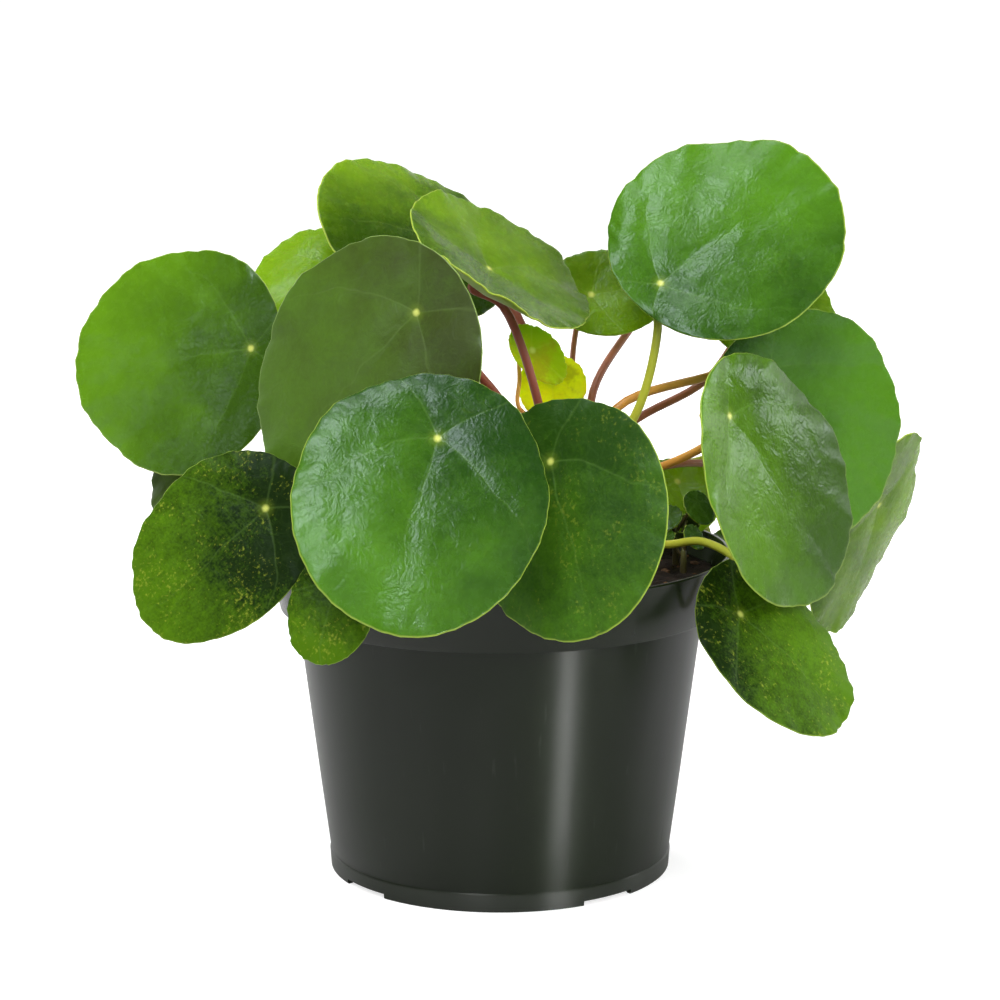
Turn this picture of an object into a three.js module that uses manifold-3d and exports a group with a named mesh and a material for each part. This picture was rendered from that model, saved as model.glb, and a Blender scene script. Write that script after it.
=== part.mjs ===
// A potted Chinese money plant (Pilea peperomioides) in a moulded nursery pot.
// Millimetres, +Z up. The origin is the middle of the pot's foot, on the surface that it stands on.
// The plant's front looks to -Y, so -X is its left and +X its right.
import * as THREE from "three";
import { mergeVertices } from "three/addons/utils/BufferGeometryUtils.js";
import Module from "manifold-3d";

const wasm = await Module();
wasm.setup();

const degrees = THREE.MathUtils.degToRad;
const fullTurn = 2 * Math.PI;

// Clearance that pieces in contact keep.
const gap = 0.3;

// The pot: a tapered body, a low foot band, and a collar that stands out over the body.
const potHeight = 116;
const rimRadius = 82.5;
const collarHeight = 20;
const collarLowRadius = 78.8;
const bodyTopRadius = 73;
const bodyLowRadius = 61.5;
const footRadius = 61.8;
const footGroove = 0.6;
const footHeight = 6.5;
const potWall = 1.6;
const potFloorUnderside = 4;
const potFloorTop = 6;
const potSides = 48;
const drainCount = 4;
const drainAngle = -51.5;
const drainNotchWidth = 20;
const drainNotchHeight = 1.8;
const drainNotchDepth = 5;
const drainHoleRadius = 5;
const drainHoleCircle = 48;

// The potting mix, with its lumps as relief, and plain holes for the stems that stand in it.
const soilLevel = 106;
const soilRings = [10, 20, 30, 39, 47, 54, 61, 67, 72, 76];
const soilSides = 40;
const soilHeapHeight = 1.5;
const soilHeapWidth = 30;
const soilSeed = 71;
const soilLumpCount = 60;
const soilLumpSpread = 74;
const soilLumpRadius = [5, 10];
const soilLumpHeight = [-0.7, 1.7];
const stemHoleDepth = 16;

// The woody trunk leans a little and swells at the scars of its old leaves.
const trunkFoot = [20, 9];
const trunkTop = [25, 13];
const trunkHeight = 153;
const trunkFootRadius = 5.6;
const trunkTopRadius = 3.6;
const trunkScarStep = 6;
const trunkScarDepth = 0.5;
const trunkSides = 12;

// A blade is a thin sheet: a net of spokes and rings round the point where its stalk joins.
const bladeThickness = 1;
const bladeRings = [0.45, 0.8, 1];
const largeSpokes = 32;
const smallSpokes = 20;
const largeBladeLength = 60;
const navelDepth = 1.4;
const navelWidth = 8;
const eggShape = -0.06;
const creaseSoftness = 4;
const curlSoftness = 3;
const marginWaves = [2, 3, 5, 8];
const waveSwell = 0.0215;
const waveLift = 0.02;
const waveLeast = 0.4;
const firstBladeSeed = 100;
const bladeSeedStep = 7;

// A leaf stalk is a round rod, modelled with few sides.
const stalkSides = 6;
const stalkSteps = 10;
const stalkShoulder = 3;
const stalkShoulderRise = 2;
const stalkSeatSlant = 0.35;
const stalkNeck = 8;
const stalkSlant = 0.3;

// The leaves. Each blade is placed by the point where its stalk joins it:
//   at      that point, on the upper face
//   faces   where the upper face looks: degrees from straight ahead towards the right, degrees above level
//   tip     where the tip points, in the blade's plane: degrees from straight down towards the right
//   size    length from base to tip, and width
//   seat    how far from the base the stalk joins, as a share of the length
//   bend    how far the blade curls back along its length and across it, edge to edge, in degrees
//   crease  a fold through the stalk's point: degrees from the tip, and how steeply both sides rise
//   curl    a margin that turns up: its direction in degrees from the tip, where it starts, its steepness
// Its stalk leaves the trunk at a height and an angle round it, passes the points in via,
// and meets the blade's underside.
const leaves = [
  {
    name: "front", tint: "deep",
    at: [-20.1, -98, 172.5], faces: [5, 29.5], tip: -17, size: [89, 82], seat: 0.246, bend: [12, 14],
    stalk: {
      from: [132, -25], via: [[2, -28, 147], [-11, -60, 153], [-19, -84, 164]], radius: 1.8, tint: "red",
    },
  },
  {
    name: "front_right", tint: "deep",
    at: [16.1, -82, 162], faces: [-33.7, 19.8], tip: 27, size: [81.8, 75.2], seat: 0.251, bend: [12, 16],
    stalk: { from: [127, 2], via: [[23, -20, 142], [26, -54, 156]], radius: 1.8, tint: "red" },
  },
  {
    name: "centre_left", tint: "dull",
    at: [-28.3, -60, 208.3], faces: [-27.6, 11], tip: -43, size: [97.9, 81.6], seat: 0.205, bend: [14, 16],
    stalk: { from: [146, -60], via: [[-2, -12, 174], [-9, -28, 185]], radius: 1.7, tint: "red" },
  },
  {
    name: "far_left", tint: "bright",
    at: [-89, 6, 187.3], faces: [-22.4, 15.7], tip: -78, size: [86.6, 82.2], seat: 0.157, bend: [10, 10],
    stalk: { from: [141, -80], via: [[-22, 14, 164], [-66, 22, 182]], radius: 1.8, tint: "green" },
  },
  {
    name: "low_left", tint: "mottled",
    at: [-79.6, -56, 141.3], faces: [-16.6, 19.3], tip: -45, size: [75.8, 57.2], seat: 0.233, bend: [8, 8],
    stalk: { from: [131, -62], via: [[-20, -14, 142], [-60, -34, 146]], radius: 1.6, tint: "green" },
  },
  {
    name: "small_low_left", tint: "mottled",
    at: [-53.3, -88, 123], faces: [-17.9, 20.3], tip: -10, size: [35.8, 30.6], seat: 0.207, bend: [8, 8],
    stalk: { from: [122, -45], via: [[-10, -28, 128], [-44, -66, 130]], radius: 1.1, tint: "green" },
  },
  {
    name: "back_left", tint: "dull",
    at: [-107, 24, 150], faces: [-30, 25], tip: -20, size: [46, 34], seat: 0.28, bend: [8, 8],
    stalk: { from: [126, -88], via: [[-24, 18, 136], [-80, 28, 136]], radius: 1.5, tint: "green" },
  },
  {
    name: "top_left", tint: "light",
    at: [-18, 58, 220.9], faces: [45.3, 41.8], tip: -108, size: [80.5, 75.3], seat: 0.301, bend: [8, 30],
    stalk: {
      from: [147, 215], via: [[16, 42, 165], [4, 60, 196], [-14, 68, 206]], radius: 1.5, tint: "red",
    },
  },
  {
    name: "top_centre", tint: "light",
    at: [-3.2, 0, 217.1], faces: [63.8, 51.7], tip: 78, size: [81, 71.7], seat: 0.424, bend: [-8, -16],
    curl: [205, 25, 0.8],
    stalk: { from: [149, -95], via: [[14, 6, 166], [1, 8, 202]], radius: 1.6, tint: "red" },
  },
  {
    name: "back_small_left", tint: "light",
    at: [-62, 40, 213], faces: [0, 50], tip: -50, size: [51, 46], seat: 0.4, bend: [20, 20],
    stalk: { from: [143, -115], via: [[-14, 30, 168], [-54, 48, 192]], radius: 1.3, tint: "green" },
  },
  {
    name: "back_centre", tint: "light",
    at: [34, 55, 201], faces: [6, 34], tip: 97, size: [46, 36], seat: 0.34, bend: [8, 8],
    stalk: {
      from: [151, 160], via: [[27, 36, 162], [27, 52, 178], [29, 62, 189]], radius: 1.1, tint: "brown",
    },
  },
  {
    name: "back_upper", tint: "light",
    at: [72, 84, 218], faces: [-10, 45], tip: 80, size: [46, 42], seat: 0.3, bend: [8, 8],
    stalk: { from: [149, 130], via: [[34, 31, 168], [50, 66, 188]], radius: 1.5, tint: "brown" },
  },
  {
    name: "top_right", tint: "deep",
    at: [56.5, 0, 211.6], faces: [-2.7, 36.1], tip: 130, size: [88.6, 81.4], seat: 0.143, bend: [8, 10],
    stalk: { from: [143, 70], via: [[48, 4, 163], [56, 6, 194]], radius: 1.6, tint: "green" },
  },
  {
    name: "back_right", tint: "light",
    at: [98, 60, 198], faces: [10, 40], tip: 30, size: [50, 50], seat: 0.4, bend: [8, 8],
    stalk: { from: [145, 115], via: [[50, 24, 159], [76, 40, 171]], radius: 1.5, tint: "brown" },
  },
  {
    name: "right", tint: "deep",
    at: [96.9, 8, 178.9], faces: [20, 3.9], tip: 34, size: [85.8, 77.7], seat: 0.206, bend: [10, 12],
    stalk: { from: [140, 100], via: [[42, 16, 164], [75, 26, 174]], radius: 1.6, tint: "amber" },
  },
  {
    name: "front_far_right", tint: "bright",
    at: [77.8, -58, 173.2], faces: [52.7, 13], tip: 33, size: [96.7, 74.8], seat: 0.184, bend: [8, 8],
    crease: [-35, 0.12],
    stalk: { from: [136, 70], via: [[56, 0, 145], [75, -24, 160]], radius: 1.5, tint: "amber" },
  },
  {
    name: "far_right", tint: "light",
    at: [142.9, 52, 121.1], faces: [54.9, -21.7], tip: 6, size: [87.5, 62], seat: 0.354, bend: [8, 24],
    stalk: { from: [131, 95], via: [[60, 16, 143], [90, 40, 138]], radius: 1.4, tint: "brown" },
  },
  {
    name: "low_right", tint: "mottled",
    at: [82.8, -51, 103.8], faces: [40.2, 35.7], tip: 31, size: [70.9, 55.9], seat: 0.25, bend: [10, 10],
    stalk: {
      from: [117, 82], via: [[58, -4, 118], [72, -14, 121], [85, -33, 114]], radius: 1.5, tint: "green",
    },
  },
  {
    name: "low_back_right", tint: "light",
    at: [90, 58, 98], faces: [60, 30], tip: 0, size: [52, 48], seat: 0.28, bend: [8, 8],
    stalk: {
      from: [121, 105], via: [[56, 30, 123], [72, 46, 122], [79, 56, 108]], radius: 1.3, tint: "green",
    },
  },
  {
    name: "back_low_right", tint: "light",
    at: [66, 42, 133], faces: [20, 40], tip: 0, size: [32, 30], seat: 0.3, bend: [8, 8],
    crease: [0, 0.3],
    stalk: { from: [124, 130], via: [[50, 30, 124]], radius: 1.1, tint: "green" },
  },
  {
    name: "young_front", tint: "light",
    at: [12, 18, 185], faces: [20, 20], tip: 40, size: [26, 17], seat: 0.4, bend: [8, 8],
    crease: [0, 0.3],
    stalk: { from: [153, 200], via: [[7, 16, 164], [7, 19, 174]], radius: 0.8, tint: "amber" },
  },
  {
    name: "young_back", tint: "light",
    at: [19, 30, 172], faces: [0, 30], tip: 0, size: [27, 25], seat: 0.4, bend: [8, 8],
    stalk: { from: [153, 165], via: [[23, 36, 160]], radius: 0.8, tint: "green" },
  },
  {
    name: "rear_left", tint: "deep",
    at: [-22, 96, 128], faces: [190, 40], tip: 10, size: [68, 62], seat: 0.28, bend: [10, 10],
    stalk: { from: [126, 205], via: [[4, 40, 138], [-12, 74, 140]], radius: 1.6, tint: "green" },
  },
  {
    name: "rear_centre", tint: "deep",
    at: [34, 78, 136], faces: [165, 50], tip: 0, size: [58, 52], seat: 0.28, bend: [10, 10],
    stalk: { from: [131, 170], via: [[26, 44, 142]], radius: 1.5, tint: "green" },
  },
  {
    name: "rear_upper_left", tint: "deep",
    at: [-48, 62, 176], faces: [215, 45], tip: 10, size: [60, 54], seat: 0.28, bend: [10, 10],
    stalk: { from: [138, 235], via: [[-14, 38, 162]], radius: 1.5, tint: "green" },
  },
  {
    name: "rear_right", tint: "deep",
    at: [108, 72, 156], faces: [140, 45], tip: -10, size: [54, 50], seat: 0.28, bend: [10, 10],
    stalk: { from: [127, 118], via: [[44, 34, 138], [76, 58, 138]], radius: 1.4, tint: "green" },
  },
];

// Two seedling offsets by the right-hand wall: where each stands, its height, and its small leaves,
// given as the large ones are, with the stalk's point measured from the offset's own foot.
const offsets = [
  {
    name: "offset_inner", foot: [64, 18], height: 13, seed: 311,
    leaves: [
      { at: [7, -5, 24], faces: [30, 35], tip: 20, size: [14, 12] },
      { at: [-3, -8, 20], faces: [-20, 50], tip: -30, size: [13, 11] },
      { at: [-8, 2, 22], faces: [-70, 45], tip: 0, size: [11, 10] },
      { at: [4, 3, 16], faces: [160, 50], tip: 0, size: [11, 9] },
    ],
  },
  {
    name: "offset_outer", foot: [66, 4], height: 8, seed: 347,
    leaves: [
      { at: [3, -3, 15], faces: [40, 35], tip: 20, size: [10, 9] },
      { at: [-6, 0, 13], faces: [-60, 50], tip: 0, size: [9, 8] },
      { at: [1, 7, 12], faces: [150, 50], tip: 0, size: [9, 8] },
    ],
  },
];
const offsetStemRadius = 1.3;
const offsetStalkRadius = 0.6;
const offsetBladeThickness = 0.8;
const offsetSpokes = 12;
const offsetSeat = 0.35;
const offsetBend = 16;
const offsetLeafStep = 1.5;
const offsetNeck = 3;
const offsetStalkSteps = 5;

// A small generator of repeatable numbers from 0 to 1.
function randomNumbers(seed) {
  let state = seed;
  return () => {
    state = (state * 16807) % 2147483647;
    return state / 2147483647;
  };
}

const plant = new THREE.Group();

function addPiece(name, geometry, material) {
  const piece = new THREE.Mesh(geometry, material);
  piece.name = name;
  plant.add(piece);
}

function finish(color, roughness) {
  return new THREE.MeshStandardMaterial({ color, roughness, metalness: 0 });
}

const potPlastic = finish(0x2b322e, 0.35);
const pottingMix = finish(0x1c1512, 0.95);
const bark = finish(0x6a4a30, 0.8);
const bladeFinishes = {
  deep: finish(0x2c6418, 0.35),
  dull: finish(0x3f6a2b, 0.5),
  bright: finish(0x4f9321, 0.35),
  mottled: finish(0x3c6a16, 0.45),
  light: finish(0x7aa62c, 0.4),
};
const stalkFinishes = {
  red: finish(0x8c3b2b, 0.4),
  brown: finish(0x7d4a30, 0.45),
  amber: finish(0xb5803a, 0.4),
  green: finish(0x9aa53a, 0.4),
};

// Closed geometry as a solid that can be joined and cut.
function solidOf(geometry) {
  const plain = new THREE.BufferGeometry();
  plain.setAttribute("position", geometry.getAttribute("position"));
  plain.setIndex(geometry.getIndex());
  const merged = mergeVertices(plain, 1e-4);
  const vertProperties = merged.getAttribute("position").array;
  const triVerts = new Uint32Array(merged.getIndex().array);
  return new wasm.Manifold(new wasm.Mesh({ numProp: 3, vertProperties, triVerts }));
}

function geometryOf(solid) {
  const mesh = solid.getMesh();
  const geometry = new THREE.BufferGeometry();
  geometry.setAttribute("position", new THREE.BufferAttribute(mesh.vertProperties, 3));
  geometry.setIndex(new THREE.BufferAttribute(mesh.triVerts, 1));
  geometry.computeVertexNormals();
  return geometry;
}

// A turned shape round the Z axis, from [radius, height] pairs.
function turned(profile, sides) {
  const points = profile.map(([radius, height]) => new THREE.Vector2(radius, height));
  return new THREE.LatheGeometry(points, sides).rotateX(Math.PI / 2);
}

// The pot's outer radius at a height below the collar.
function bodyRadius(height) {
  const share = (height - footHeight) / (potHeight - collarHeight - footHeight);
  return THREE.MathUtils.lerp(bodyLowRadius, bodyTopRadius, share);
}

// The collar's outer radius at a height.
function collarRadius(height) {
  const share = (height - potHeight + collarHeight) / collarHeight;
  return THREE.MathUtils.lerp(collarLowRadius, rimRadius, share);
}

function buildPot() {
  const ledge = potHeight - collarHeight;
  const profile = [
    [0, potFloorUnderside],
    [footRadius - 4, potFloorUnderside],
    [footRadius - 2.6, 0],
    [footRadius - 0.4, 0],
    [footRadius, footHeight],
    [bodyLowRadius, footHeight + footGroove],
    [bodyTopRadius, ledge],
    [collarLowRadius, ledge],
    [rimRadius, potHeight - 0.8],
    [rimRadius - 0.4, potHeight],
    [rimRadius - potWall, potHeight],
    [collarLowRadius - potWall, ledge + potWall],
    [bodyTopRadius - potWall, ledge + potWall],
    [bodyRadius(potFloorTop + 2) - potWall, potFloorTop + 2],
    [bodyRadius(potFloorTop) - potWall - 2, potFloorTop],
    [0, potFloorTop],
  ];
  let pot = solidOf(turned(profile, potSides));
  for (let k = 0; k < drainCount; k++) {
    const angle = degrees(drainAngle - 90 + (k * 360) / drainCount);
    const width = 2 * footRadius * Math.sin(degrees(drainNotchWidth / 2));
    const notch = new THREE.BoxGeometry(2 * drainNotchDepth, width, 2 * drainNotchHeight);
    notch.translate(footRadius, 0, 0).rotateZ(angle);
    const hole = new THREE.CylinderGeometry(drainHoleRadius, drainHoleRadius, 10, 12);
    hole.rotateX(Math.PI / 2).translate(drainHoleCircle, 0, potFloorTop).rotateZ(angle);
    pot = pot.subtract(solidOf(notch)).subtract(solidOf(hole));
  }
  addPiece("pot", geometryOf(pot), potPlastic);
}

// The height of the potting mix over its level: a low heap round the trunk, and lumps.
const random = randomNumbers(soilSeed);
const soilLumps = [];
for (let k = 0; k < soilLumpCount; k++) {
  const around = fullTurn * random();
  const out = soilLumpSpread * Math.sqrt(random());
  soilLumps.push({
    x: out * Math.cos(around),
    y: out * Math.sin(around),
    radius: THREE.MathUtils.lerp(...soilLumpRadius, random()),
    height: THREE.MathUtils.lerp(...soilLumpHeight, random()),
  });
}
function soilRelief(x, y) {
  const fromTrunk = Math.hypot(x - trunkFoot[0], y - trunkFoot[1]) / soilHeapWidth;
  let height = soilHeapHeight * Math.exp(-(fromTrunk ** 2));
  for (const lump of soilLumps) {
    const distance = Math.hypot(x - lump.x, y - lump.y) / lump.radius;
    height += lump.height * Math.max(0, 1 - distance * distance);
  }
  return height;
}

// The trunk's middle line and radius, by height.
function trunkLine(height) {
  const share = (height - soilLevel) / (trunkHeight - soilLevel);
  return new THREE.Vector3(
    THREE.MathUtils.lerp(trunkFoot[0], trunkTop[0], share),
    THREE.MathUtils.lerp(trunkFoot[1], trunkTop[1], share),
    height,
  );
}
function trunkRadius(height) {
  const share = (height - soilLevel) / (trunkHeight - soilLevel);
  return THREE.MathUtils.lerp(trunkFootRadius, trunkTopRadius, share);
}

function buildSoil(stems) {
  const top = soilLevel;
  const wallInside = potWall + gap;
  const ledge = potHeight - collarHeight + potWall + gap;
  const profile = [
    [0, potFloorTop + gap],
    [bodyRadius(potFloorTop) - wallInside - 2.4, potFloorTop + gap],
    [bodyRadius(potFloorTop + 2) - wallInside - 0.2, potFloorTop + 2.4],
    [bodyRadius(ledge) - wallInside - 0.2, ledge],
    [collarRadius(ledge) - wallInside - 0.4, ledge],
    [collarRadius(top) - wallInside - 0.4, top],
    ...soilRings.toReversed().map((radius) => [radius, top]),
    [0, top],
  ];
  const geometry = turned(profile, soilSides);
  const position = geometry.getAttribute("position");
  for (let k = 0; k < position.count; k++) {
    const x = position.getX(k);
    const y = position.getY(k);
    if (position.getZ(k) > top - 1 && Math.hypot(x, y) < soilRings.at(-1) + 1) {
      position.setZ(k, top + soilRelief(x, y));
    }
  }
  let soil = solidOf(geometry);
  for (const [x, y, radius] of stems) {
    const hole = new THREE.CylinderGeometry(radius + gap, radius + gap, 2 * stemHoleDepth, 12);
    hole.rotateX(Math.PI / 2).translate(x, y, soilLevel);
    soil = soil.subtract(solidOf(hole));
  }
  addPiece("potting_mix", geometryOf(soil), pottingMix);
}

// The trunk is turned, then sheared along its lean.
function buildTrunk() {
  const foot = soilLevel - stemHoleDepth + gap;
  const profile = [[0, foot]];
  profile.push([trunkFootRadius - 0.4, foot]);
  for (let height = soilLevel + 4; height < trunkHeight - 2; height += trunkScarStep) {
    profile.push([trunkRadius(height) - trunkScarDepth, height]);
    profile.push([trunkRadius(height), height + trunkScarStep / 3]);
  }
  profile.push([trunkTopRadius * 0.7, trunkHeight]);
  profile.push([0, trunkHeight + 1]);
  const geometry = turned(profile, trunkSides);
  const position = geometry.getAttribute("position");
  for (let k = 0; k < position.count; k++) {
    const line = trunkLine(Math.max(position.getZ(k), soilLevel));
    position.setX(k, position.getX(k) + line.x);
    position.setY(k, position.getY(k) + line.y);
  }
  addPiece("trunk", geometry, bark);
}

// The three directions of a blade: towards the tip, sideways, and out of the upper face.
function bladeFrame(leaf) {
  const [turn, lift] = leaf.faces.map(degrees);
  const normal = new THREE.Vector3(
    Math.sin(turn) * Math.cos(lift),
    -Math.cos(turn) * Math.cos(lift),
    Math.sin(lift),
  );
  const right = new THREE.Vector3(Math.cos(turn), Math.sin(turn), 0);
  const up = new THREE.Vector3().crossVectors(normal, right);
  const roll = degrees(leaf.tip);
  const tip = up.multiplyScalar(-Math.cos(roll)).addScaledVector(right, Math.sin(roll));
  const side = new THREE.Vector3().crossVectors(normal, tip);
  return { tip, side, normal };
}

// The upper face of a blade as a function of the share of the way to the margin and the angle round it.
function bladeSurface(leaf, seed) {
  const { tip, side, normal } = bladeFrame(leaf);
  const [length, width] = leaf.size;
  const [bendAlong, bendAcross] = leaf.bend.map((bend) => degrees(bend) + 1e-6);
  const [creaseTurn, creaseRise] = leaf.crease ?? [0, 0];
  const [curlTurn, curlStart, curlRise] = leaf.curl ?? [0, 0, 0];
  const next = randomNumbers(seed);
  const draw = (count) => THREE.MathUtils.lerp(waveLeast, 1, next()) / Math.sqrt(count);
  const waves = marginWaves.map((count) => ({
    count,
    size: waveSwell * draw(count),
    lift: length * waveLift * draw(count),
    phase: fullTurn * next(),
  }));
  return (share, angle) => {
    let swell = 1;
    let lift = 0;
    for (const wave of waves) {
      const swing = Math.sin(wave.count * angle + wave.phase);
      swell += wave.size * swing;
      lift += wave.lift * swing * share ** 3;
    }
    const along = share * ((0.5 - leaf.seat) * length + (length / 2) * swell * Math.cos(angle));
    const out = (width / 2) * swell * Math.sin(angle) * (1 + eggShape * Math.cos(angle));
    const across = share * out;
    const curveAlong = bendAlong / length;
    const curveAcross = bendAcross / width;
    const offCrease = across * Math.cos(degrees(creaseTurn)) - along * Math.sin(degrees(creaseTurn));
    const towardsCurl = along * Math.cos(degrees(curlTurn)) + across * Math.sin(degrees(curlTurn));
    const curled = Math.max(0, towardsCurl - curlStart);
    lift -= (1 - Math.cos(curveAlong * along)) / curveAlong;
    lift -= (1 - Math.cos(curveAcross * across)) / curveAcross;
    lift += creaseRise * (Math.hypot(offCrease, creaseSoftness) - creaseSoftness);
    lift += curlRise * (Math.hypot(curled, curlSoftness) - curlSoftness);
    const fromNavel = (along ** 2 + across ** 2) / navelWidth ** 2;
    lift -= (leaf.navelDepth ?? navelDepth) * Math.exp(-fromNavel);
    return new THREE.Vector3(...leaf.at)
      .addScaledVector(tip, Math.sin(curveAlong * along) / curveAlong)
      .addScaledVector(side, Math.sin(curveAcross * across) / curveAcross)
      .addScaledVector(normal, lift);
  };
}

function bladeGeometry(leaf, seed) {
  const { normal } = bladeFrame(leaf);
  const surface = bladeSurface(leaf, seed);
  const thickness = leaf.thickness ?? bladeThickness;
  const spokes = leaf.spokes ?? (leaf.size[0] < largeBladeLength ? smallSpokes : largeSpokes);
  const rings = bladeRings.length;
  const step = 1e-3;
  const middle = surface(0, 0);
  const positions = [];
  for (const face of [0.5, -0.5]) {
    positions.push(...middle.clone().addScaledVector(normal, face * thickness));
    for (const share of bladeRings) {
      for (let spoke = 0; spoke < spokes; spoke++) {
        const angle = (fullTurn * spoke) / spokes;
        const point = surface(share, angle);
        const outward = surface(share + step, angle).sub(point);
        const onward = surface(share, angle + step).sub(point);
        const local = outward.cross(onward).normalize();
        positions.push(...point.addScaledVector(local, face * thickness));
      }
    }
  }
  const faceSize = 1 + rings * spokes;
  const at = (face, ring, spoke) => face * faceSize + 1 + ring * spokes + (spoke % spokes);
  const triangles = [];
  for (let spoke = 0; spoke < spokes; spoke++) {
    triangles.push(0, at(0, 0, spoke), at(0, 0, spoke + 1));
    triangles.push(faceSize, at(1, 0, spoke + 1), at(1, 0, spoke));
    for (let ring = 0; ring < rings - 1; ring++) {
      const corners = (face) => [
        at(face, ring, spoke),
        at(face, ring + 1, spoke),
        at(face, ring + 1, spoke + 1),
        at(face, ring, spoke + 1),
      ];
      const [a, b, c, d] = corners(0);
      triangles.push(a, b, c, a, c, d);
      const [e, f, g, h] = corners(1);
      triangles.push(e, g, f, e, h, g);
    }
    const upper = at(0, rings - 1, spoke);
    const upperNext = at(0, rings - 1, spoke + 1);
    const lower = at(1, rings - 1, spoke);
    const lowerNext = at(1, rings - 1, spoke + 1);
    triangles.push(upper, lower, lowerNext, upper, lowerNext, upperNext);
  }
  const geometry = new THREE.BufferGeometry();
  geometry.setAttribute("position", new THREE.Float32BufferAttribute(positions, 3));
  geometry.setIndex(triangles);
  geometry.computeVertexNormals();
  return geometry;
}

// The stalk's middle line, from the trunk's side to the blade's underside.
function stalkLine(leaf) {
  const { tip, normal } = bladeFrame(leaf);
  const { from, via, radius } = leaf.stalk;
  const [height, turn] = from;
  const around = new THREE.Vector3(Math.sin(degrees(turn)), -Math.cos(degrees(turn)), 0);
  const seat = trunkRadius(height) + gap + stalkSeatSlant * radius;
  const start = trunkLine(height).addScaledVector(around, seat);
  const shoulder = start.clone().addScaledVector(around, stalkShoulder * radius);
  shoulder.z += stalkShoulderRise;
  const under = navelDepth + bladeThickness / 2 + gap;
  const end = new THREE.Vector3(...leaf.at).addScaledVector(normal, -under);
  const arrive = normal.clone().addScaledVector(tip, stalkSlant).normalize();
  const neck = end.clone().addScaledVector(arrive, -stalkNeck);
  const points = via.map((point) => new THREE.Vector3(...point));
  return new THREE.CatmullRomCurve3([start, shoulder, ...points, neck, end]);
}

function rodGeometry(line, radius, steps) {
  const corners = Array.from({ length: stalkSides }, (_, k) => {
    const angle = (fullTurn * k) / stalkSides;
    return new THREE.Vector2(radius * Math.cos(angle), radius * Math.sin(angle));
  });
  return new THREE.ExtrudeGeometry(new THREE.Shape(corners), { steps, extrudePath: line });
}

// An offset is one piece: its short stem, and leaves whose stalks grow out of the stem's upper part.
function buildOffset({ name, foot, height, seed, leaves: smallLeaves }) {
  const base = new THREE.Vector3(foot[0], foot[1], soilLevel);
  const bottom = gap - stemHoleDepth;
  const profile = [
    [0, bottom],
    [offsetStemRadius, bottom],
    [0.8 * offsetStemRadius, height],
    [0, height + 1],
  ];
  let offset = solidOf(turned(profile, stalkSides).translate(...base));
  smallLeaves.forEach((leaf, order) => {
    const at = base.clone().add(new THREE.Vector3(...leaf.at));
    const sized = {
      ...leaf,
      at: at.toArray(),
      seat: offsetSeat,
      bend: [offsetBend, offsetBend],
      thickness: offsetBladeThickness,
      spokes: offsetSpokes,
      navelDepth: 0,
    };
    const start = base.clone();
    start.z += height - 1 - offsetLeafStep * order;
    const { normal } = bladeFrame(sized);
    const neck = at.clone().addScaledVector(normal, -offsetNeck);
    const line = new THREE.CatmullRomCurve3([start, start.clone().lerp(neck, 0.5), neck, at]);
    offset = offset.add(solidOf(rodGeometry(line, offsetStalkRadius, offsetStalkSteps)));
    offset = offset.add(solidOf(bladeGeometry(sized, seed + order)));
  });
  addPiece(name, geometryOf(offset), bladeFinishes.deep);
}

buildPot();
buildSoil([
  [...trunkFoot, trunkFootRadius],
  ...offsets.map((offset) => [...offset.foot, offsetStemRadius]),
]);
buildTrunk();
offsets.forEach(buildOffset);
leaves.forEach((leaf, order) => {
  const seed = firstBladeSeed + bladeSeedStep * order;
  addPiece("blade_" + leaf.name, bladeGeometry(leaf, seed), bladeFinishes[leaf.tint]);
  const stalk = rodGeometry(stalkLine(leaf), leaf.stalk.radius, stalkSteps);
  addPiece("stalk_" + leaf.name, stalk, stalkFinishes[leaf.stalk.tint]);
});

export default plant;
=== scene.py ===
# %% [markdown]
# # A potted Chinese money plant
#
# A young plant in a plastic nursery pot: round blades, each on a long stalk that joins it away from its
# margin. Measured solids fix every size and place. This lesson dresses them, one kind of piece after
# another: camera and light, then finishes, then pot, mix, trunk, blades, stalks and the two offsets.

import math

import bmesh
import bpy
import numpy as np
from mathutils import Matrix, Vector, noise


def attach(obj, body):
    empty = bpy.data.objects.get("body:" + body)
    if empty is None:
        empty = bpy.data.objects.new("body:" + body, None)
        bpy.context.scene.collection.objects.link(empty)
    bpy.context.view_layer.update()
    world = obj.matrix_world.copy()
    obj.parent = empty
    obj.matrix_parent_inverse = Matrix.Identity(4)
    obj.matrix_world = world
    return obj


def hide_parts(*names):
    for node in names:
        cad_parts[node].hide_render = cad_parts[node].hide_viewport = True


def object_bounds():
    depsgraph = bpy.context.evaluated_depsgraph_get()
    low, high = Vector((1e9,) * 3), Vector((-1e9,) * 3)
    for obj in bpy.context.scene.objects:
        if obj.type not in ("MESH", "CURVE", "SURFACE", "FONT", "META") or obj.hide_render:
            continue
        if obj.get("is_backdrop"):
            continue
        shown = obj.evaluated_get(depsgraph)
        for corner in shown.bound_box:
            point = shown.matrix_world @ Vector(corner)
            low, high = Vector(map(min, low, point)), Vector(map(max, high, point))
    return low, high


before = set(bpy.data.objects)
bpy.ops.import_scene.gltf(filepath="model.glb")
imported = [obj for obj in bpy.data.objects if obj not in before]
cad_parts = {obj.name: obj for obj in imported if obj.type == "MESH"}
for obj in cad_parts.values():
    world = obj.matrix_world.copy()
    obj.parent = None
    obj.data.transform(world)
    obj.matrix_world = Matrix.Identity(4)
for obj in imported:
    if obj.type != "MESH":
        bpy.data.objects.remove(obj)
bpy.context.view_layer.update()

# %% [markdown]
# The plant was photographed from about a metre away with a long lens, a little above the leaves and
# tipped down. A pinhole camera at the same place gives the same overlaps between leaves.

# %% Camera
camera_distance = 1.05
camera_height = 0.332
camera_pitch = math.radians(10.71)

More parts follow.
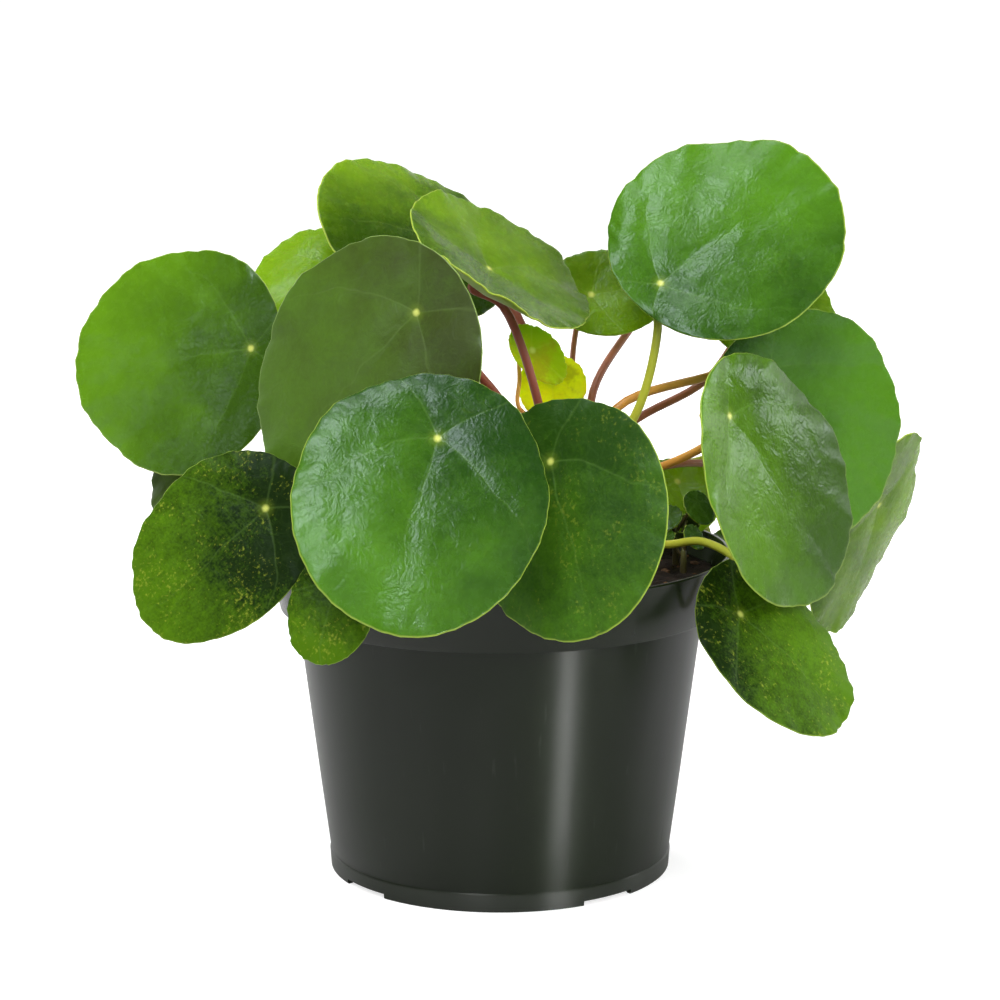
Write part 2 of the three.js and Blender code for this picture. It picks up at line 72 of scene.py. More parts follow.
camera = bpy.data.objects.new("camera", bpy.data.cameras.new("camera"))
bpy.context.scene.collection.objects.link(camera)
camera.location = (0, -camera_distance, camera_height)
camera.rotation_euler = (math.pi / 2 - camera_pitch, 0, 0)
camera.data.lens = 107.8
camera.data.sensor_width = 36
bpy.context.scene.camera = camera
print("camera at", tuple(camera.location))

# %% [markdown]
# A product photograph on white: the table and the wall run together. A large pale disc is the table. The
# camera sees the table and the world overexposed to white, with only a contact shadow. For light and
# reflections the table is lit by the lamps alone, and the world is white low behind the plant and dim
# elsewhere, so that the waxy leaves and the dark pot keep their depth.

# %% World and floor
scene = bpy.context.scene
scene.view_settings.view_transform = "Standard"


def place(tree, kind, inputs=None, **settings):
    """Adds a shader node, sets its options, and fills its sockets with values or links."""
    node = tree.nodes.new("ShaderNode" + kind)
    for name, value in settings.items():
        setattr(node, name, value)
    for name, value in (inputs or {}).items():
        socket = node.inputs[name]
        if isinstance(value, bpy.types.NodeSocket):
            tree.links.new(value, socket)
        else:
            socket.default_value = value
    return node


def calc(tree, operation, *values, clamp=False):
    """One step of arithmetic in a node tree."""
    node = place(tree, "Math", operation=operation, use_clamp=clamp)
    for socket, value in zip(node.inputs, values):
        if isinstance(value, bpy.types.NodeSocket):
            tree.links.new(value, socket)
        else:
            socket.default_value = value
    return node.outputs[0]


def ramp(tree, value, low, high, to_low=0.0, to_high=1.0):
    """Maps one range to another, smoothly and within its ends."""
    node = place(tree, "MapRange", interpolation_type="SMOOTHSTEP")
    for name, number in zip(("Value", "From Min", "From Max", "To Min", "To Max"),
                            (value, low, high, to_low, to_high)):
        if isinstance(number, bpy.types.NodeSocket):
            tree.links.new(number, node.inputs[name])
        else:
            node.inputs[name].default_value = number
    return node.outputs["Result"]


def mix(tree, share, first, second, blend_type="MIX"):
    """Mixes two colours."""
    node = place(tree, "Mix", data_type="RGBA", blend_type=blend_type)
    for index, value in ((0, share), (6, first), (7, second)):
        if isinstance(value, bpy.types.NodeSocket):
            tree.links.new(value, node.inputs[index])
        else:
            node.inputs[index].default_value = value
    return node.outputs[2]


def grey(value):
    return (value, value, value, 1)


world = bpy.data.worlds.new("white studio")
scene.world = world
world.use_nodes = True
sky = world.node_tree
sky.nodes.clear()
direction = place(sky, "TexCoord").outputs["Generated"]
apart = place(sky, "SeparateXYZ", {"Vector": direction})
behind = ramp(sky, apart.outputs["Y"], 0.0, 0.5, 0.0, 1.2)
low = ramp(sky, apart.outputs["Z"], 0.1, 0.45, 1.0, 0.15)
strength = calc(sky, "ADD", calc(sky, "MULTIPLY", behind, low), 0.11)
light = place(sky, "Background", {"Color": grey(1), "Strength": strength})
white = place(sky, "Background", {"Color": grey(1), "Strength": 1.0})
seen = place(sky, "LightPath").outputs["Is Camera Ray"]
chosen = place(sky, "MixShader", {0: seen, 1: light.outputs[0], 2: white.outputs[0]})
place(sky, "OutputWorld", {"Surface": chosen.outputs[0]})

floor_bm = bmesh.new()
bmesh.ops.create_circle(floor_bm, cap_ends=True, segments=96, radius=30)
floor = bpy.data.objects.new("floor", bpy.data.meshes.new("floor"))
floor_bm.to_mesh(floor.data)
floor_bm.free()
scene.collection.objects.link(floor)
floor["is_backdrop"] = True
table = bpy.data.materials.new("white table")
table.use_nodes = True
surface = table.node_tree.nodes["Principled BSDF"]
surface.inputs["Base Color"].default_value = grey(0.5)
surface.inputs["Roughness"].default_value = 0.9
surface.inputs["Specular IOR Level"].default_value = 0.0
surface.inputs["Emission Color"].default_value = grey(1)
seen = place(table.node_tree, "LightPath").outputs["Is Camera Ray"]
spot = place(table.node_tree, "TexCoord").outputs["Object"]
away = place(table.node_tree, "VectorMath", {0: spot}, operation="LENGTH").outputs["Value"]
glow = ramp(table.node_tree, away, 0.1, 0.5, 0.7, 1.0)
overexposure = calc(table.node_tree, "MULTIPLY", seen, glow)
table.node_tree.links.new(overexposure, surface.inputs["Emission Strength"])
floor.data.materials.append(table)
print("floor of radius 30 m")

# %% [markdown]
# Two sets of softboxes. The fill set lights the leaves evenly, and stays out of their mirror image, as the
# wide white walls of a studio do. The shine set gives no light of its own, and draws the bluish sheens on
# the waxy leaves. A strip box with a narrow beam draws the upright streak on the pot.

# %% Softboxes
# name: turn from the camera towards the right and lift above level in degrees, distance, size, power
fill_boxes = {
    "key fill": (-30, 50, 1.8, (0.9, 0.8), 21),
    "low fill": (12, 12, 1.6, (0.8, 0.6), 7),
    "top fill": (0, 80, 1.5, (0.8, 0.8), 9),
    "right fill": (55, 25, 1.5, (0.7, 0.8), 15),
    "left fill": (-100, 15, 1.5, (0.8, 0.8), 7),
    "back fill": (-150, 30, 1.5, (0.8, 0.8), 20),
}
shine_boxes = {
    "front": (-22, 46, 1.8, (0.5, 0.4), 8),
    "top": (-30, 74, 1.5, (0.4, 0.4), 5),
    "side": (99, 13, 1.5, (0.3, 0.3), 2.2),
    "low front": (-12, 30, 1.8, (0.2, 0.12), 3),
    "low left": (-47, 17, 1.5, (0.25, 0.25), 0.9),
    "far low left": (-62, 6, 1.5, (0.2, 0.2), 0.4),
    "back": (150, 80, 1.5, (0.5, 0.5), 3),
}
pot_boxes = {
    "strip": (37, 1, 0.81, (0.10, 0.12), 0.05),
}
wide_beam = math.radians(180)
narrow_beam = math.radians(16)
plant_middle = 0.15
pot_middle = 0.05


def softboxes(boxes, aim, mirrored, beam):
    """Hangs a set of softboxes that look at a height on the plant's axis."""
    look_at = Vector((0, 0, aim))
    for name, (turn, lift, distance, size, power) in boxes.items():
        box = bpy.data.lights.new(name, "AREA")
        box.shape = "RECTANGLE"
        box.size, box.size_y = size
        box.energy = power
        box.spread = beam
        holder = bpy.data.objects.new(name, box)
        scene.collection.objects.link(holder)
        turn, lift = math.radians(turn), math.radians(lift)
        flat = math.cos(lift)
        away = Vector((math.sin(turn) * flat, -math.cos(turn) * flat, math.sin(lift)))
        holder.location = look_at + distance * away
        holder.rotation_euler = (-away).to_track_quat("-Z", "Y").to_euler()
        holder.visible_glossy = mirrored
        holder.visible_diffuse = not mirrored


softboxes(fill_boxes, plant_middle, False, wide_beam)
softboxes(shine_boxes, plant_middle, True, wide_beam)
softboxes(pot_boxes, pot_middle, True, narrow_beam)
print(len(fill_boxes) + len(shine_boxes) + len(pot_boxes), "softboxes")

# %% [markdown]
# Everything below is modelled in millimetres round the foot of the pot and brought to metres when a piece
# is finished. Each piece rides on the one body of the frame and stands for the solid that it dresses.

# %% Helpers for pieces
MM = 0.001


def random_numbers(seed):
    """Repeatable numbers from 0 to 1."""
    state = seed
    while True:
        state = state * 16807 % 2147483647
        yield state / 2147483647


def soften(bm, sharp_angle=40):
    """Smooth shading, with creases only at edges sharper than an angle."""
    for face in bm.faces:
        face.smooth = True
    limit = math.radians(sharp_angle)
    for edge in bm.edges:
        edge.smooth = len(edge.link_faces) != 2 or edge.calc_face_angle(0) < limit


def new_piece(name, bm, materials, slot, *nodes):
    """Turns a bmesh in millimetres into a finished piece."""
    bmesh.ops.scale(bm, vec=(MM, MM, MM), verts=bm.verts)
    piece = bpy.data.objects.new(name, bpy.data.meshes.new(name))
    bm.to_mesh(piece.data)
    bm.free()
    for material in materials:
        piece.data.materials.append(material)
    scene.collection.objects.link(piece)
    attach(piece, "root")
    if nodes:
        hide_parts(*nodes)
    return piece


def spun(profile, steps):
    """A closed turned shape round the Z axis, from (radius, height) pairs that start and end on it."""
    bm = bmesh.new()
    corners = [bm.verts.new((radius, 0, height)) for radius, height in profile]
    for first, second in zip(corners, corners[1:]):
        bm.edges.new((first, second))
    bmesh.ops.spin(
        bm, geom=bm.verts[:] + bm.edges[:], cent=(0, 0, 0), axis=(0, 0, 1),
        angle=2 * math.pi, steps=steps, use_merge=True,
    )
    bmesh.ops.remove_doubles(bm, verts=bm.verts, dist=1e-4)
    bmesh.ops.recalc_face_normals(bm, faces=bm.faces)
    return bm


# %% [markdown]
# One effect is shared by every finish: a soft blotchiness, as living and weathered surfaces have. It is a
# node group that gives out only a value, so that each finish can use it at its own size and in its own way.

# %% Shared effects
def new_group(name, inputs, outputs):
    """An empty shader node group with float or vector sockets."""
    group = bpy.data.node_groups.new(name, "ShaderNodeTree")
    kinds = {"float": "NodeSocketFloat", "vector": "NodeSocketVector"}
    for label, kind, default in inputs:
        socket = group.interface.new_socket(label, in_out="INPUT", socket_type=kinds[kind])
        if default is not None:
            socket.default_value = default
    for label, kind in outputs:
        group.interface.new_socket(label, in_out="OUTPUT", socket_type=kinds[kind])
    start = group.nodes.new("NodeGroupInput")
    end = group.nodes.new("NodeGroupOutput")
    return group, start, end


def use_group(tree, group, inputs):
    """Places a node group in a node tree, with its own values."""
    node = tree.nodes.new("ShaderNodeGroup")
    node.node_tree = group
    for name, value in inputs.items():
        if isinstance(value, bpy.types.NodeSocket):
            tree.links.new(value, node.inputs[name])
        else:
            node.inputs[name].default_value = value
    return node


blotches, start, end = new_group(
    "blotches",
    [("Place", "vector", None), ("Size", "float", 10.0), ("Contrast", "float", 1.0)],
    [("Value", "float")],
)
coarse = place(blotches, "TexNoise", {"Vector": start.outputs["Place"], "Scale": start.outputs["Size"],
                                      "Detail": 4.0, "Roughness": 0.6})
spread = calc(blotches, "SUBTRACT", coarse.outputs["Fac"], 0.5)
spread = calc(blotches, "MULTIPLY", spread, start.outputs["Contrast"])
blotches.links.new(calc(blotches, "ADD", spread, 0.5, clamp=True), end.inputs["Value"])
print("group:", blotches.name)

# %% [markdown]
# A blade's pattern follows the blade, so it is drawn in the blade's own flat map, whose middle is the
# navel: the point where the stalk joins. The map is in decimetres. Veins run out from the navel as the
# spokes of a polar pattern. The side veins curve towards the tip, and all of them wander a little, with a
# fine net between them. Each vein lies in a shallow trough, and the skin between them bulges and wrinkles.

# %% Vein pattern
vein_count = 5
vein_curve = 0.9
vein_width = 0.007
trough_width = 0.06
funnel_width = 0.2
funnel_depth = 1.6
net_scale = 22.0

veins, start, end = new_group(
    "veins",
    [("Place", "vector", None), ("Shift", "float", 0.0)],
    [("Vein", "float"), ("Net", "float"), ("Relief", "float"), ("Distance", "float")],
)
shift = place(veins, "CombineXYZ", {"Z": start.outputs["Shift"]})
moved = place(veins, "VectorMath", {0: start.outputs["Place"], 1: shift.outputs[0]}, operation="ADD")
moved = moved.outputs["Vector"]
distance = place(veins, "VectorMath", {0: start.outputs["Place"]}, operation="LENGTH").outputs["Value"]
apart = place(veins, "SeparateXYZ", {"Vector": start.outputs["Place"]})
angle = calc(veins, "ARCTAN2", apart.outputs["Y"], apart.outputs["X"])
wander = place(veins, "TexNoise", {"Vector": moved, "Scale": 5.0, "Detail": 2.0}).outputs["Fac"]
wander = calc(veins, "MULTIPLY", calc(veins, "SUBTRACT", wander, 0.5), 0.4)
curved = calc(veins, "MULTIPLY", calc(veins, "SINE", angle), calc(veins, "MULTIPLY", distance, vein_curve))
turned = calc(veins, "ADD", calc(veins, "ADD", angle, curved), wander)
turned = calc(veins, "MULTIPLY", turned, vein_count / 2)
off_vein = calc(veins, "ABSOLUTE", calc(veins, "SINE", turned))
off_vein = calc(veins, "MULTIPLY", calc(veins, "MULTIPLY", off_vein, distance), 2 / vein_count)
fade = ramp(veins, distance, 0.12, 0.75, 1.0, 0.15)
line = calc(veins, "MULTIPLY", ramp(veins, off_vein, 0.0, vein_width, 1.0, 0.0), fade)
veins.links.new(line, end.inputs["Vein"])
warp = place(veins, "TexNoise", {"Vector": moved, "Scale": 9.0, "Detail": 2.0}).outputs["Color"]
warp = place(veins, "VectorMath", {0: warp, 1: (0.09, 0.09, 0)}, operation="MULTIPLY").outputs["Vector"]
warped = place(veins, "VectorMath", {0: moved, 1: warp}, operation="ADD").outputs["Vector"]
net = place(veins, "TexVoronoi", {"Vector": warped, "Scale": net_scale}, feature="DISTANCE_TO_EDGE")
net_line = ramp(veins, net.outputs["Distance"], 0.0, 0.12, 1.0, 0.0)
veins.links.new(net_line, end.inputs["Net"])
trough = calc(veins, "MULTIPLY", ramp(veins, off_vein, 0.0, trough_width, 0.2, 0.0), fade)
swell = place(veins, "TexNoise", {"Vector": warped, "Scale": 8.0, "Detail": 1.0, "Distortion": 0.5})
wrinkles = place(veins, "TexNoise", {"Vector": warped, "Scale": 32.0, "Detail": 2.0}).outputs["Fac"]
wrinkles = calc(veins, "ABSOLUTE", calc(veins, "SUBTRACT", wrinkles, 0.5))
leather = place(veins, "TexNoise", {"Vector": moved, "Scale": 80.0, "Detail": 1.0}).outputs["Fac"]
broad = place(veins, "TexNoise", {"Vector": moved, "Scale": 3.5, "Detail": 0.0}).outputs["Fac"]
near = calc(veins, "DIVIDE", distance, funnel_width)
funnel = calc(veins, "EXPONENT", calc(veins, "MULTIPLY", calc(veins, "MULTIPLY", near, near), -1))
relief = calc(veins, "ADD", swell.outputs["Fac"], calc(veins, "MULTIPLY", wrinkles, 0.5))
for height, weight in ((leather, 0.09), (broad, 1.6), (funnel, -funnel_depth), (trough, -1), (line, -0.06)):
    relief = calc(veins, "ADD", relief, calc(veins, "MULTIPLY", height, weight))
veins.links.new(relief, end.inputs["Relief"])
veins.links.new(distance, end.inputs["Distance"])
print("group:", veins.name)

# %% [markdown]
# One finish serves every blade of a kind. "share" runs from 0 at the navel to 1 at the margin, "under" is
# 1 on the underside, and the tone makes one end or side of a blade lighter. The tone is partly the blade's
# own colour and partly painted light and shade: painted sheen, painted light shining through, and painted
# shade. Young blades are yellower, and their colour is painted paler still, standing in for light shining
# through them. Blades that got too much sun carry pale specks and are dull and mottled. Each finish sets
#
# - deep, light, under, margin, vein: colours; vein_show: how clearly the veins are coloured
# - roughness and shine: how blurred and how strong the wax reflects; pucker: how deep the relief is
# - specks, mottle: how strong the pale specks and the fine patches are; blush: a second colour in patches
# - glow: how much light passes through a thin blade; navel_show: how clear the pale navel is

# %% Blade finishes
fleck_color = (0.28, 0.34, 0.03, 1)
halo_color = (0.20, 0.30, 0.02, 1)
navel_color = (0.55, 0.60, 0.13, 1)
wax_tint = (0.78, 0.88, 1.0, 1)


def blade_finish(name, deep, light, under, margin, vein=(0.16, 0.30, 0.06, 1), roughness=0.27,
                 vein_show=0.12, specks=0.0, pucker=1.0, blush=None, glow=0.0, shine=0.4,
                 mottle=0.3, navel_show=1.0):
    """A waxy blade, coloured between deep and light."""
    material = bpy.data.materials.new(name)
    material.use_nodes = True
    tree = material.node_tree
    surface = tree.nodes["Principled BSDF"]
    flat = place(tree, "UVMap", uv_map="blade").outputs["UV"]
    share = place(tree, "Attribute", attribute_name="share").outputs["Fac"]
    below = place(tree, "Attribute", attribute_name="under").outputs["Fac"]
    # The tone attribute is partly the blade's own colour and partly painted light and shade.
    tone_and_shading = place(tree, "Attribute", attribute_name="tone_and_shading").outputs["Fac"]
    shift = place(tree, "Attribute", attribute_name="shift").outputs["Fac"]
    pattern = use_group(tree, veins, {"Place": flat, "Shift": shift}).outputs
    around = place(tree, "CombineXYZ", {"Z": shift}).outputs[0]
    around = place(tree, "VectorMath", {0: flat, 1: around}, operation="ADD").outputs["Vector"]
    patches = use_group(tree, blotches, {"Place": around, "Size": 3.2, "Contrast": 1.6}).outputs["Value"]
    fine = use_group(tree, blotches, {"Place": around, "Size": 30.0, "Contrast": 1.0}).outputs["Value"]
    grainy = use_group(tree, blotches, {"Place": around, "Size": 110.0, "Contrast": 1.0}).outputs["Value"]
    lightness = tone_and_shading
    for value, weight in ((patches, 0.9), (fine, mottle), (grainy, mottle + 0.1)):
        spread = calc(tree, "MULTIPLY", calc(tree, "SUBTRACT", value, 0.5), weight)
        lightness = calc(tree, "ADD", lightness, spread)
    lightness = calc(tree, "SUBTRACT", lightness, 0.025, clamp=True)
    color = mix(tree, lightness, deep, light)
    color = mix(tree, calc(tree, "MULTIPLY", pattern["Vein"], vein_show), color, vein)
    color = mix(tree, calc(tree, "MULTIPLY", pattern["Net"], vein_show * 0.2), color, vein)
    if blush is not None:
        stain = use_group(tree, blotches, {"Place": around, "Size": 8.0, "Contrast": 3.0}).outputs["Value"]
        color = mix(tree, ramp(tree, stain, 0.6, 0.95, 0.0, 0.6), color, blush)
    if specks:
        flecks = use_group(tree, blotches, {"Place": around, "Size": 75.0, "Contrast": 1.0}).outputs["Value"]
        where = use_group(tree, blotches, {"Place": around, "Size": 7.0, "Contrast": 3.0}).outputs["Value"]
        fleck = ramp(tree, calc(tree, "ADD", flecks, calc(tree, "MULTIPLY", where, 0.2)), 0.68, 0.88)
        color = mix(tree, calc(tree, "MULTIPLY", fleck, specks), color, fleck_color)
    halo = ramp(tree, pattern["Distance"], 0.0, 0.045, 0.35 * navel_show, 0.0)
    color = mix(tree, halo, color, halo_color)
    color = mix(tree, below, color, under)
    dot = ramp(tree, pattern["Distance"], 0.004, 0.018, 0.9 * navel_show, 0.0)
    dot = calc(tree, "MULTIPLY", dot, calc(tree, "SUBTRACT", 1.0, below))
    color = mix(tree, dot, color, navel_color)
    rim = ramp(tree, share, 0.988, 0.998, 0.0, 0.75)
    color = mix(tree, rim, color, margin)
    tree.links.new(color, surface.inputs["Base Color"])
    rough = calc(tree, "ADD", calc(tree, "MULTIPLY", fine, 0.12), roughness - 0.06)
    rough = calc(tree, "ADD", rough, calc(tree, "MULTIPLY", below, 0.15))
    tree.links.new(rough, surface.inputs["Roughness"])
    calm = ramp(tree, share, 0.75, 1.0, 1.0, 0.4)
    bump = place(tree, "Bump", {"Height": calc(tree, "MULTIPLY", pattern["Relief"], calm),
                                "Strength": 0.6 * pucker, "Distance": 0.0012})
    tree.links.new(bump.outputs["Normal"], surface.inputs["Normal"])
    surface.inputs["Specular IOR Level"].default_value = shine
    surface.inputs["Specular Tint"].default_value = wax_tint
    surface.inputs["Subsurface Weight"].default_value = glow
    surface.inputs["Subsurface Radius"].default_value = (0.6, 1.0, 0.15)
    surface.inputs["Subsurface Scale"].default_value = 0.003 * glow
    return material


pale_rim = (0.34, 0.46, 0.05, 1)
blade_looks = {
    "deep": blade_finish("deep green blade", (0.010, 0.042, 0.001, 1), (0.060, 0.180, 0.003, 1),
                         (0.11, 0.20, 0.03, 1), pale_rim, specks=0.05),
    "speckled": blade_finish("speckled blade", (0.013, 0.046, 0.001, 1), (0.060, 0.165, 0.003, 1),
                             (0.11, 0.20, 0.03, 1), pale_rim, specks=0.25, roughness=0.42, shine=0.22,
                             mottle=0.5),
    "tiny": blade_finish("tiny blade", (0.010, 0.036, 0.001, 1), (0.060, 0.150, 0.003, 1),
                         (0.11, 0.20, 0.03, 1), pale_rim, navel_show=0.0),
    "dull": blade_finish("dull green blade", (0.036, 0.055, 0.006, 1), (0.075, 0.165, 0.008, 1),
                         (0.14, 0.19, 0.05, 1), (0.24, 0.36, 0.07, 1), vein=(0.15, 0.24, 0.06, 1),
                         roughness=0.36, vein_show=0.15, pucker=0.8),
    "bright": blade_finish("bright green blade", (0.030, 0.080, 0.001, 1), (0.100, 0.245, 0.003, 1),
                           (0.15, 0.24, 0.03, 1), pale_rim),
    "mottled": blade_finish("mottled blade", (0.006, 0.018, 0.0004, 1), (0.070, 0.165, 0.002, 1),
                            (0.11, 0.19, 0.03, 1), (0.24, 0.36, 0.04, 1), specks=0.65, roughness=0.42,
                            shine=0.1, mottle=1.0),
    "light": blade_finish("light green blade", (0.032, 0.080, 0.001, 1), (0.17, 0.32, 0.004, 1),
                          (0.22, 0.34, 0.04, 1), (0.42, 0.52, 0.06, 1), vein=(0.3, 0.42, 0.1, 1),
                          glow=0.4, shine=0.25),
    # Young blades: yellow, with colours painted much paler than their own, standing in for light shining
    # through them from behind.
    "young": blade_finish("young blade with painted backlight", (0.34, 0.44, 0.004, 1), (0.85, 0.88, 0.008, 1),
                          (0.50, 0.58, 0.03, 1), (0.6, 0.6, 0.06, 1), vein=(0.6, 0.6, 0.1, 1),
                          roughness=0.5, pucker=0.4, blush=(0.36, 0.28, 0.012, 1), glow=0.9, shine=0.25),
}
print(len(blade_looks), "blade finishes")

# %% [markdown]
# Stalks are smooth and waxy. Each kind has its colour near the trunk and another near the blade. "rise"
# runs from 0 to 1 along the stalk.

# %% Stalk finishes
stalk_roughness = 0.36


def stalk_finish(name, low, high):
    """A smooth stalk, from its colour near the trunk to its colour near the blade."""
    material = bpy.data.materials.new(name)
    material.use_nodes = True
    tree = material.node_tree
    surface = tree.nodes["Principled BSDF"]
    spot = place(tree, "TexCoord").outputs["Object"]
    rise = place(tree, "Attribute", attribute_name="rise").outputs["Fac"]
    patches = use_group(tree, blotches, {"Place": spot, "Size": 90.0, "Contrast": 1.5}).outputs["Value"]
    color = mix(tree, ramp(tree, rise, 0.1, 1.0), low, high)
    streak = tuple(0.6 * value for value in low[:3]) + (1,)
    color = mix(tree, calc(tree, "MULTIPLY", patches, 0.35), color, streak)
    tree.links.new(color, surface.inputs["Base Color"])
    grain = place(tree, "TexNoise", {"Vector": spot, "Scale": 900.0, "Detail": 2.0}).outputs["Fac"]
    bump = place(tree, "Bump", {"Height": grain, "Strength": 0.15, "Distance": 0.0003})
    tree.links.new(bump.outputs["Normal"], surface.inputs["Normal"])
    rough = calc(tree, "ADD", calc(tree, "MULTIPLY", grain, 0.1), stalk_roughness - 0.05)
    tree.links.new(rough, surface.inputs["Roughness"])
    return material


stalk_looks = {
    "red": stalk_finish("red stalk", (0.23, 0.055, 0.03, 1), (0.33, 0.085, 0.055, 1)),
    "brown": stalk_finish("brown stalk", (0.30, 0.09, 0.045, 1), (0.5, 0.2, 0.1, 1)),
    "dark": stalk_finish("dark stalk", (0.05, 0.035, 0.012, 1), (0.09, 0.10, 0.02, 1)),
    "amber": stalk_finish("amber stalk", (0.60, 0.22, 0.05, 1), (0.8, 0.52, 0.05, 1)),
    "green": stalk_finish("green stalk", (0.46, 0.44, 0.03, 1), (0.40, 0.52, 0.05, 1)),
}
print(len(stalk_looks), "stalk finishes")

# %% [markdown]
# The pot is injection-moulded plastic, nearly black with a green cast, semi-gloss, with faint upright
# scuffs. The mould was turned, and its fine level marks draw the highlights out upright. The foot is
# scraped paler where it slides over shelves.

# %% Pot finish
pot_plastic = bpy.data.materials.new("pot plastic")
pot_plastic.use_nodes = True
tree = pot_plastic.node_tree
surface = tree.nodes["Principled BSDF"]
spot = place(tree, "TexCoord").outputs["Object"]
height = place(tree, "SeparateXYZ", {"Vector": spot}).outputs["Z"]
cloud = use_group(tree, blotches, {"Place": spot, "Size": 22.0, "Contrast": 1.4}).outputs["Value"]
color = mix(tree, cloud, (0.003, 0.006, 0.001, 1), (0.005, 0.009, 0.002, 1))
upright = place(tree, "Mapping", {"Vector": spot, "Scale": (1, 1, 0.06)}).outputs["Vector"]
scuff = place(tree, "TexNoise", {"Vector": upright, "Scale": 420.0, "Detail": 3.0}).outputs["Fac"]
scuff = ramp(tree, scuff, 0.66, 0.78)
foot = ramp(tree, height, 0.0055, 0.0075, 1.0, 0.0)
wear = calc(tree, "ADD", calc(tree, "MULTIPLY", scuff, 0.25), calc(tree, "MULTIPLY", foot, 0.35))
color = mix(tree, calc(tree, "MULTIPLY", wear, 0.5), color, (0.09, 0.095, 0.088, 1))
tree.links.new(color, surface.inputs["Base Color"])
collar = ramp(tree, height, 0.095, 0.0965)
rough = calc(tree, "ADD", calc(tree, "MULTIPLY", cloud, 0.06), ramp(tree, collar, 0.0, 1.0, 0.31, 0.20))
tree.links.new(calc(tree, "ADD", rough, calc(tree, "MULTIPLY", wear, 0.35)), surface.inputs["Roughness"])
grain = place(tree, "TexNoise", {"Vector": spot, "Scale": 1500.0, "Detail": 1.0}).outputs["Fac"]
bump = place(tree, "Bump", {"Height": grain, "Strength": 0.1, "Distance": 0.0001})
tree.links.new(bump.outputs["Normal"], surface.inputs["Normal"])
round_the_pot = place(tree, "Tangent", direction_type="RADIAL", axis="Z")
tree.links.new(round_the_pot.outputs["Tangent"], surface.inputs["Tangent"])
surface.inputs["Specular IOR Level"].default_value = 0.42
surface.inputs["Anisotropic"].default_value = 0.9
surface.inputs["Anisotropic Rotation"].default_value = 0.25
print("finish:", pot_plastic.name)

# %% [markdown]
# Potting mix is damp peat, so it is nearly black and dull, with brown fibre in it. Bark chips and white
# perlite lie on it, and the trunk has the same corky brown as the chips.

# %% Mix, bark and perlite finishes
def rough_finish(name, dark, light, size, roughness=0.95):
    """A dull, grainy finish of two colours."""
    material = bpy.data.materials.new(name)
    material.use_nodes = True
    tree = material.node_tree
    surface = tree.nodes["Principled BSDF"]
    spot = place(tree, "TexCoord").outputs["Object"]
    patches = use_group(tree, blotches, {"Place": spot, "Size": size, "Contrast": 3.0}).outputs["Value"]
    tree.links.new(mix(tree, patches, dark, light), surface.inputs["Base Color"])
    grain = place(tree, "TexNoise", {"Vector": spot, "Scale": size * 4, "Detail": 4.0}).outputs["Fac"]
    bump = place(tree, "Bump", {"Height": grain, "Strength": 0.7, "Distance": MM})
    tree.links.new(bump.outputs["Normal"], surface.inputs["Normal"])
    tree.links.new(ramp(tree, patches, 0, 1, roughness, roughness - 0.1), surface.inputs["Roughness"])
    return material


peat = rough_finish("peat", (0.004, 0.0028, 0.002, 1), (0.022, 0.012, 0.007, 1), 180.0)
chip = rough_finish("bark chip", (0.05, 0.024, 0.012, 1), (0.17, 0.09, 0.045, 1), 240.0)
perlite = rough_finish("perlite", (0.45, 0.42, 0.36, 1), (0.75, 0.72, 0.66, 1), 300.0)
trunk_bark = rough_finish("trunk bark", (0.07, 0.035, 0.018, 1), (0.2, 0.12, 0.06, 1), 120.0, 0.85)
print("finishes:", peat.name, chip.name, perlite.name, trunk_bark.name)

# %% [markdown]
# The pot is a spin of its section. Rounded corners at the lip and the foot are points of the section, so
# they catch the light as thin lines. Four notches in the foot ring and four holes in the floor let water
# out. They are cut with a Boolean modifier, whose result then becomes the mesh.

# %% Pot
pot_height = 116
rim_radius = 82.5
collar_height = 20
collar_low_radius = 78.8
body_top_radius = 73
body_low_radius = 61.5
foot_radius = 61.8
foot_height = 6.5
pot_wall = 1.6
floor_underside = 4
floor_top = 6
drain_angles = [-141.5 + 90 * k for k in range(4)]
notch_width = 21.5
notch_height = 1.8
drain_hole_radius = 5
drain_hole_circle = 48
ledge = pot_height - collar_height


def body_radius(height):
    share = (height - foot_height) / (ledge - foot_height)
    return body_low_radius + share * (body_top_radius - body_low_radius)


def collar_radius(height):
    share = (height - ledge) / collar_height
    return collar_low_radius + share * (rim_radius - collar_low_radius)


pot_section = [
    (0, floor_underside), (30, floor_underside), (foot_radius - 4, floor_underside),
    (foot_radius - 2.8, 0.4), (foot_radius - 2.4, 0), (foot_radius - 0.8, 0), (foot_radius - 0.4, 0.3),
    (foot_radius, foot_height - 0.4), (foot_radius - 0.15, foot_height),
    (body_low_radius - 0.15, foot_height + 0.3), (body_low_radius, foot_height + 0.7),
    (body_radius(30), 30), (body_radius(60), 60), (body_radius(90), 90), (body_top_radius, ledge - 0.2),
    (body_top_radius + 0.3, ledge), (collar_low_radius - 0.4, ledge), (collar_low_radius, ledge + 0.4),
    (collar_radius(106), 106), (rim_radius - 0.1, pot_height - 1.2), (rim_radius, pot_height - 0.6),
    (rim_radius - 0.3, pot_height - 0.1), (rim_radius - 0.8, pot_height),
    (rim_radius - pot_wall + 0.3, pot_height - 0.1), (rim_radius - pot_wall, pot_height - 0.5),
    (collar_low_radius - pot_wall, ledge + pot_wall + 0.6),
    (collar_low_radius - pot_wall - 0.6, ledge + pot_wall),
    (body_top_radius - pot_wall, ledge + pot_wall), (body_radius(floor_top + 2) - pot_wall, floor_top + 2),
    (body_radius(floor_top) - pot_wall - 2, floor_top), (30, floor_top), (0, floor_top),
]
pot_bm = spun(pot_section, 144)
soften(pot_bm, 35)
pot = new_piece("nursery_pot", pot_bm, [pot_plastic], "pot", "pot")

